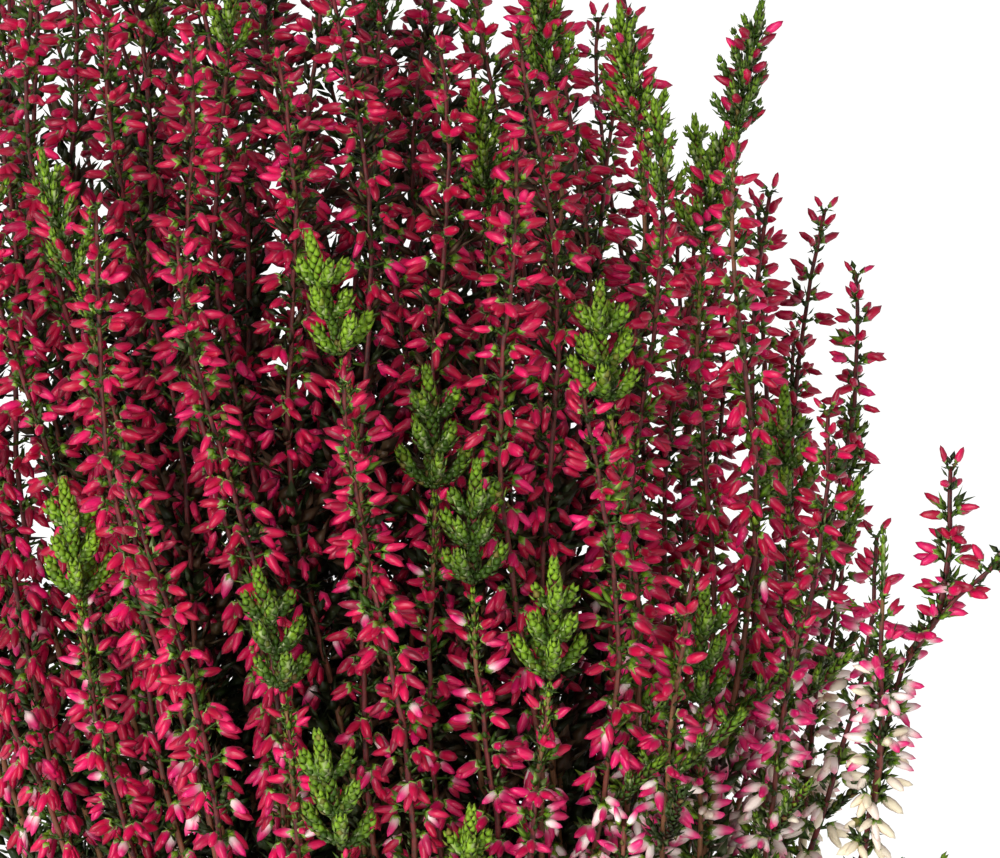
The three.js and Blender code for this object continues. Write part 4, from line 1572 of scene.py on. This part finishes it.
    def _add_twigs(self, growth: Growth) -> None:
        """Adds the leafy side twigs, most of them below the flowers.

        Args:
            growth: The spike while it is built.
        """
        spike, skin, rng, end = growth.spike, growth.skin, growth.rng, growth.end
        route = spike.route
        low = POT_HEIGHT + 4 if growth.from_soil else spike.start + 8
        flowers = end - 0.95 * growth.built
        if spike.spray < 0:
            self.stray_twigs.dress(skin, route, max(low, spike.start), end - 6, (0.25, 0.8), rng)
        elif self._is_inner(spike):
            # Inner spikes get twigs with near-black old leaves: painted shade deep in the bush.
            deep = end - self.inner_twig_depth
            self.inner_twigs.dress(skin, route, low, deep, (0.78, 1.06), rng)
            fill = self.inner_fill if spike.place[1] < self.deep_from else self.deep_fill
            fill.dress(skin, route, deep, end - 20, (0.84, 1.04), rng)
        else:
            self.twigs.dress(skin, route, low, flowers, (0.45, 1.0), rng)
            among = self.among_twigs if self._is_full(spike) else self.back_twigs
            # Twig leaves on the right are drawn younger and lighter green: painted light for light coming
            # through from behind.
            ages = (0.15, 0.6) if spike.place[0] > self.full_right else (0.35, 0.9)
            among.dress(skin, route, flowers, end - 8, ages, rng)
            if spike.place[0] < self.thin_side and spike.place[1] > self.thin_back:
                self.thin_twigs.dress(skin, route, flowers, end - 50, (0.9, 1.06), rng)
                self.low_twigs.dress(skin, route, low + 30, flowers + 20, (0.5, 1.0), rng)
            self._add_side_sprays(growth)

    def _add_side_sprays(self, growth: Growth) -> None:
        """Adds the feathery green sprays that grow out low on the right of the bush.

        Args:
            growth: The spike while it is built.
        """
        spike, rng = growth.spike, growth.rng
        left, right = self.side_spray_across
        for level in self.side_spray_levels:
            z = level + rng.uniform(-5, 5)
            foot = spike.route(z)[0]
            turn = math.atan2(foot[1], foot[0]) + rng.normal(0, 0.5)
            has_place = left < foot[0] < right and foot[1] < self.side_spray_back
            if not has_place or rng.random() < self.side_spray_missing or z > spike.top - 30:
                continue

            def route(heights: Array, foot: Array = foot, turn: float = turn, z: float = z) -> Array:
                """Centre line of this side spray, straight and leaning out."""
                rise = np.atleast_1d(np.asarray(heights, float)) - z
                return foot + (radial(np.array([turn])) * self.side_spray_lean + UP) * rise[:, None]

            self.side_spray.dress(growth.skin, route, z, z + self.side_spray_length,
                                  0.15 + 0.45 * rng.random(), rng)


# ---------------------------------------------------------------- pot and soil


@dataclass(frozen=True)
class Pot:
    """A round moulded nursery pot: thin tapered wall, rim band, foot and drainage holes."""

    height: float = POT_HEIGHT
    foot_radius: float = 46.0
    top_radius: float = 61.0
    wall: float = 2.0
    edge: float = 1.5
    rim_radius: float = 65.5
    rim_depth: float = 13.0
    floor: float = 2.5
    drains: int = 5
    drain_radius: float = 4.0
    drain_circle: float = 27.0
    drain_sides: int = 32
    sides: int = 128
    arc_steps: int = 4
    sharp_from: float = 50.0  # degrees between faces that meet in a crisp edge

    def inside(self, z: float) -> float:
        """Inner radius at a height."""
        return self.foot_radius + (self.top_radius - self.foot_radius) * z / self.height - self.wall

    def _rounded(self, corners: Sequence[tuple[float, float, float]]) -> list[tuple[float, float]]:
        """An outline with each corner turned in an arc.

        Args:
            corners: Radius, height and rounding of each corner.

        Returns:
            The outline's points.
        """
        outline = []
        for k, (r, z, rounding) in enumerate(corners):
            corner = Vector((r, z))
            if rounding == 0:
                outline.append((r, z))
                continue
            before = (Vector(corners[k - 1][:2]) - corner).normalized() * rounding
            after = (Vector(corners[(k + 1) % len(corners)][:2]) - corner).normalized() * rounding
            for step in range(self.arc_steps + 1):
                t = step / self.arc_steps
                point = corner + before * (1 - t) ** 2 + after * t**2
                outline.append((point.x, point.y))
        return outline

    def outline(self) -> list[tuple[float, float]]:
        """The wall's section, from the middle of the underside round to the middle of the floor."""
        band = self.height - self.rim_depth
        return self._rounded([
            (0, 0, 0),
            (self.foot_radius - 0.4, 0, 1.8),
            (self.inside(band) + self.wall, band, 0.8),
            (self.rim_radius - self.edge, band, 0.7),
            (self.rim_radius, self.height, 1.4),
            (self.rim_radius - self.edge - self.wall, self.height - self.edge / 2, 0.6),
            (self.inside(self.height - self.rim_depth / 3), self.height - self.rim_depth / 3, 1.0),
            (self.inside(self.floor), self.floor, 1.0),
            (0, self.floor, 0),
        ])

    def build(self, material: bpy.types.Material) -> None:
        """Makes the pot.

        Args:
            material: Its finish.
        """
        outline = self.outline()
        turns = [2 * math.pi * k / self.sides for k in range(self.sides)]
        points = [(r * math.cos(t) * MM, r * math.sin(t) * MM, z * MM)
                  for r, z in outline[1:-1] for t in turns]
        points += [(0, 0, 0), (0, 0, self.floor * MM)]
        faces = []
        rows = len(outline) - 2
        for row in range(rows - 1):
            for k in range(self.sides):
                a, b = row * self.sides + k, row * self.sides + (k + 1) % self.sides
                faces.append((a, b, b + self.sides, a + self.sides))
        under, over = len(points) - 2, len(points) - 1
        for k in range(self.sides):
            after = (k + 1) % self.sides
            faces.append((after, k, under))
            faces.append(((rows - 1) * self.sides + k, (rows - 1) * self.sides + after, over))
        mesh = bpy.data.meshes.new("nursery_pot")
        mesh.from_pydata(points, [], faces)
        mesh.materials.append(material)
        pot = linked("nursery_pot", mesh)
        self._drill(pot)
        for polygon in pot.data.polygons:
            polygon.use_smooth = True
        pot.data.set_sharp_from_angle(angle=math.radians(self.sharp_from))
        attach(pot, BODY)
        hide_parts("pot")
        log.info("nursery_pot: %d faces", len(pot.data.polygons))

    def _drill(self, pot: bpy.types.Object) -> None:
        """Cuts the drainage holes.

        Args:
            pot: The pot, changed in place.
        """
        reach = self.drain_circle * MM
        for k in range(self.drains):
            turn = 2 * math.pi * k / self.drains
            bpy.ops.mesh.primitive_cylinder_add(
                vertices=self.drain_sides, radius=self.drain_radius * MM, depth=4 * self.floor * MM,
                location=(reach * math.cos(turn), reach * math.sin(turn), 0))
            drill = bpy.context.object
            cut = pot.modifiers.new("drain", "BOOLEAN")
            cut.object = drill
            cut.operation = "DIFFERENCE"
            bpy.context.view_layer.objects.active = pot
            bpy.ops.object.modifier_apply(modifier=cut.name)
            bpy.data.objects.remove(drill)


@dataclass(frozen=True)
class Peat:
    """The root ball of peat that fills the pot, with a crumbled top."""

    level: float = SOIL_LEVEL
    fall: float = 3.0
    bottom: float = 2.8
    gap: float = 0.35  # to the pot's wall
    crumb: float = 1.1
    ripples: int = 14
    ripple: tuple[float, float] = (0.25, 1.6)  # slowest and fastest
    rings: int = 32
    sides: int = 120
    seed: int = 5

    def build(self, pot: Pot, material: bpy.types.Material) -> None:
        """Makes the peat.

        Args:
            pot: The pot that it fills.
            material: Its finish.
        """
        edge = self.level - self.fall
        rng = np.random.default_rng(self.seed)
        waves = [(rng.uniform(*self.ripple, 2), rng.uniform(0, 2 * math.pi, 2)) for _ in range(self.ripples)]
        points, faces = [(0.0, 0.0, self.level - self.crumb)], []
        for ring in range(1, self.rings + 1):
            share = ring / self.rings
            r = (pot.inside(edge) - self.gap) * share
            for k in range(self.sides):
                turn = 2 * math.pi * (k + 0.5 * (ring % 2)) / self.sides
                x, y = r * math.cos(turn), r * math.sin(turn)
                rough = sum(math.sin(f[0] * x + p[0]) * math.sin(f[1] * y + p[1]) for f, p in waves) / 4
                fade = min(1.0, (1 - share) * 12)
                z = self.level - self.crumb - self.fall * share**2 + self.crumb * rough * fade
                points.append((x, y, z))
        radius = pot.inside(self.bottom) - self.gap
        for k in range(self.sides):
            turn = 2 * math.pi * (k + 0.5 * (self.rings % 2)) / self.sides
            points.append((radius * math.cos(turn), radius * math.sin(turn), self.bottom))
        points.append((0.0, 0.0, self.bottom))
        for k in range(self.sides):
            after = (k + 1) % self.sides
            faces.append((0, 1 + k, 1 + after))
            for ring in range(self.rings):
                a, b = 1 + ring * self.sides + k, 1 + ring * self.sides + after
                faces.append((a, a + self.sides, b + self.sides, b))
            last = 1 + self.rings * self.sides
            faces.append((last + after, last + k, len(points) - 1))
        mesh = bpy.data.meshes.new("peat_root_ball")
        mesh.from_pydata([tuple(c * MM for c in point) for point in points], [], faces)
        mesh.materials.append(material)
        mesh.shade_smooth()
        peat = linked("peat_root_ball", mesh)
        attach(peat, BODY)
        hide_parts("soil")
        log.info("peat_root_ball: %d faces", len(faces))


# ---------------------------------------------------------------- plant


@dataclass(frozen=True)
class Plant:
    """The whole heather: its sprays, green tips, stray branch and low shoots."""

    plan: BushPlan = BushPlan()
    stray: StrayPlan = StrayPlan()
    low: ShootPlan = ShootPlan()
    spike: FlowerSpike = FlowerSpike()
    tip: LeafySprig = LeafySprig()
    high_tip: LeafySprig = FEATHERY_TIP
    feathery_above: float = 300.0  # tips higher than this are fine-leaved and darker
    shoot: LeafySprig = LeafySprig(first=0.1, last=0.82, whorl_gap=4.6, per_whorl=3, twig_length=12.0,
                                   twig=LeafyTwig(leaf=(1.6, 0.7, 2.8), gap=2.0, core=0.9),
                                   leader=LeafyTwig(leaf=(1.6, 0.7, 2.8), gap=2.0, core=0.9))
    fit_gap: float = 0.3
    tip_seed: int = 2000

    def build(self, finishes: Sequence[bpy.types.Material]) -> None:
        """Makes every piece of the plant.

        Args:
            finishes: Sepal, leaf and bark, in the order of Wear.
        """
        heads = self.plan.heads()
        stray = self.stray.spikes()
        for j in range(self.plan.sprays):
            members = sorted((head for head in heads if head.spray == j), key=lambda head: head.side)
            self._build_spray(members, f"heather_spray_{j + 1:02d}", f"spray_{j + 1:02d}", finishes)
        self._build_spray(stray, "heather_stray_spray", "stray_spray", finishes)
        for k, head in enumerate(head for head in heads if head.end is End.TIP):
            self._build_tip(head, k + 1, finishes)
        for k, shoot in enumerate(self.low.shoots([*heads, *stray])):
            self._build_shoot(shoot, k + 1, finishes)

    def _build_spray(self, spikes: Sequence[Spike], name: str, node: str,
                     finishes: Sequence[bpy.types.Material]) -> None:
        """Makes one spray.

        Args:
            spikes: Its spikes. The first one's stem goes down into the soil.
            name: The piece's name.
            node: The node that it stands for.
            finishes: Its materials.
        """
        skin = Skin()
        for k, spike in enumerate(spikes):
            self.spike.dress(spike, skin, from_soil=k == 0)
        skin.piece(name, finishes, node)

    def _build_tip(self, head: Spike, number: int, finishes: Sequence[bpy.types.Material]) -> None:
        """Makes one green tip.

        Args:
            head: The spike that it ends.
            number: The tip's number.
            finishes: Its materials.
        """
        rng = np.random.default_rng(self.tip_seed + head.number)
        skin = Skin()
        low = head.top - TIP_LENGTH + self.fit_gap
        if head.top > self.feathery_above:
            self.high_tip.dress(skin, head.route, low, head.top, 0.14 + 0.2 * rng.random(), rng)
            self.spike.dress_tip(head, skin, low, rng)
        else:
            self.tip.dress(skin, head.route, low, head.top, 0.04 + 0.24 * rng.random(), rng)
        skin.piece(f"heather_tip_{number:02d}", finishes, f"leafy_tip_{number:02d}")

    def _build_shoot(self, shoot: Spike, number: int, finishes: Sequence[bpy.types.Material]) -> None:
        """Makes one low shoot.

        Args:
            shoot: Its course.
            number: The shoot's number.
            finishes: Its materials.
        """
        rng = np.random.default_rng(shoot.number)
        skin = Skin()
        z = np.linspace(SOIL_LEVEL - self.spike.hole_depth, shoot.top - 8, 14)
        radii = np.interp(z, (SOIL_LEVEL, shoot.top), (self.spike.stem_radius, 0.5))
        skin.tube(shoot.route(z), radii, 6, Wear.BARK.value, rng.random(), np.full(len(z), 0.6))
        self.shoot.dress(skin, shoot.route, POT_HEIGHT + 3, shoot.top, 0.2 + 0.3 * rng.random(), rng)
        skin.piece(f"heather_shoot_{number:02d}", finishes, f"leafy_shoot_{number:02d}")


# ---------------------------------------------------------------- studio


def aim(made: bpy.types.Object, way: Vector) -> None:
    """Turns a camera or a lamp to look along a way."""
    made.rotation_euler = way.to_track_quat("-Z", "Y").to_euler()


@dataclass(frozen=True)
class Studio:
    """Pale floor, soft light and the camera."""

    target: tuple[float, float, float] = (14.0, 0.0, 254.0)
    distance: float = 950.0
    elevation: float = 6.0
    frame_width: float = 200.0  # what the view takes in across, at the target
    sensor: float = 36.0
    sky: float = 0.4  # light from all round
    backdrop: float = 1.0  # white of the backdrop behind the plant
    sun: float = 1.5
    sun_softness: float = 24.0  # degrees across
    sun_from: tuple[float, float, float] = (-0.5, -1.0, 0.65)
    box: float = 1.35  # watts of the soft box near the plant
    box_size: float = 260.0
    box_at: tuple[float, float, float] = (-220.0, -530.0, 210.0)
    floor_half: float = 40.0  # metres

    def build(self) -> None:
        """Makes the camera, the floor, the backdrop and the light."""
        self._camera()
        self._floor()
        self._light()

    def _camera(self) -> None:
        """Adds the camera, looking slightly down on the bush from the front."""
        rise = math.radians(self.elevation)
        target = Vector(self.target) * MM
        place = target + Vector((0, -math.cos(rise), math.sin(rise))) * self.distance * MM
        data = bpy.data.cameras.new("camera")
        data.sensor_width = self.sensor
        data.lens = self.sensor * self.distance / self.frame_width
        data.clip_start, data.clip_end = 0.05, 60
        camera = linked("camera", data)
        camera.location = place
        aim(camera, target - place)
        bpy.context.scene.camera = camera

    def _floor(self) -> None:
        """Adds the floor that the pot stands on."""
        half = self.floor_half
        corners = [(-half, -half, 0), (half, -half, 0), (half, half, 0), (-half, half, 0)]
        mesh = bpy.data.meshes.new("floor")
        mesh.from_pydata(corners, [], [(0, 1, 2, 3)])
        mesh.materials.append(FloorFinish().material())
        floor = linked("floor", mesh)

    def _light(self) -> None:
        """Adds a white backdrop, soft light from all round, a wide sun and a soft box close to the front."""
        world = bpy.data.worlds.new("studio")
        bpy.context.scene.world = world
        world.use_nodes = True
        tree = world.node_tree
        seen = add_node(tree, "ShaderNodeLightPath").outputs["Is Camera Ray"]
        strength = add_node(
            tree, "ShaderNodeMapRange", {"Value": seen, "To Min": self.sky, "To Max": self.backdrop})
        back = tree.nodes["Background"]
        back.inputs["Color"].default_value = (1, 1, 1, 1)
        tree.links.new(strength.outputs["Result"], back.inputs["Strength"])
        data = bpy.data.lights.new("soft_key", "SUN")
        data.energy = self.sun
        data.angle = math.radians(self.sun_softness)
        aim(linked("soft_key", data), -Vector(self.sun_from))
        data = bpy.data.lights.new("soft_box", "AREA")
        data.energy = self.box
        data.size = self.box_size * MM
        box = linked("soft_box", data)
        place = Vector(self.box_at) * MM
        box.location = place
        aim(box, Vector((0, 0, place.z)) - place)
        box.visible_camera = False
        view = bpy.context.scene.view_settings
        view.view_transform = "Standard"
        view.look = "None"


def main() -> None:
    """Builds the studio, the pot, the peat and the plant."""
    logging.basicConfig(level=logging.INFO, format="%(name)s: %(message)s")
    Studio().build()
    pot = Pot()
    pot.build(PotPlasticFinish().material())
    Peat().build(pot, PeatFinish().material())
    finishes = [SepalFinish().material(), LeafFinish().material(), BarkFinish().material()]
    Plant().build(finishes)


if __name__ == "__main__":
    main()
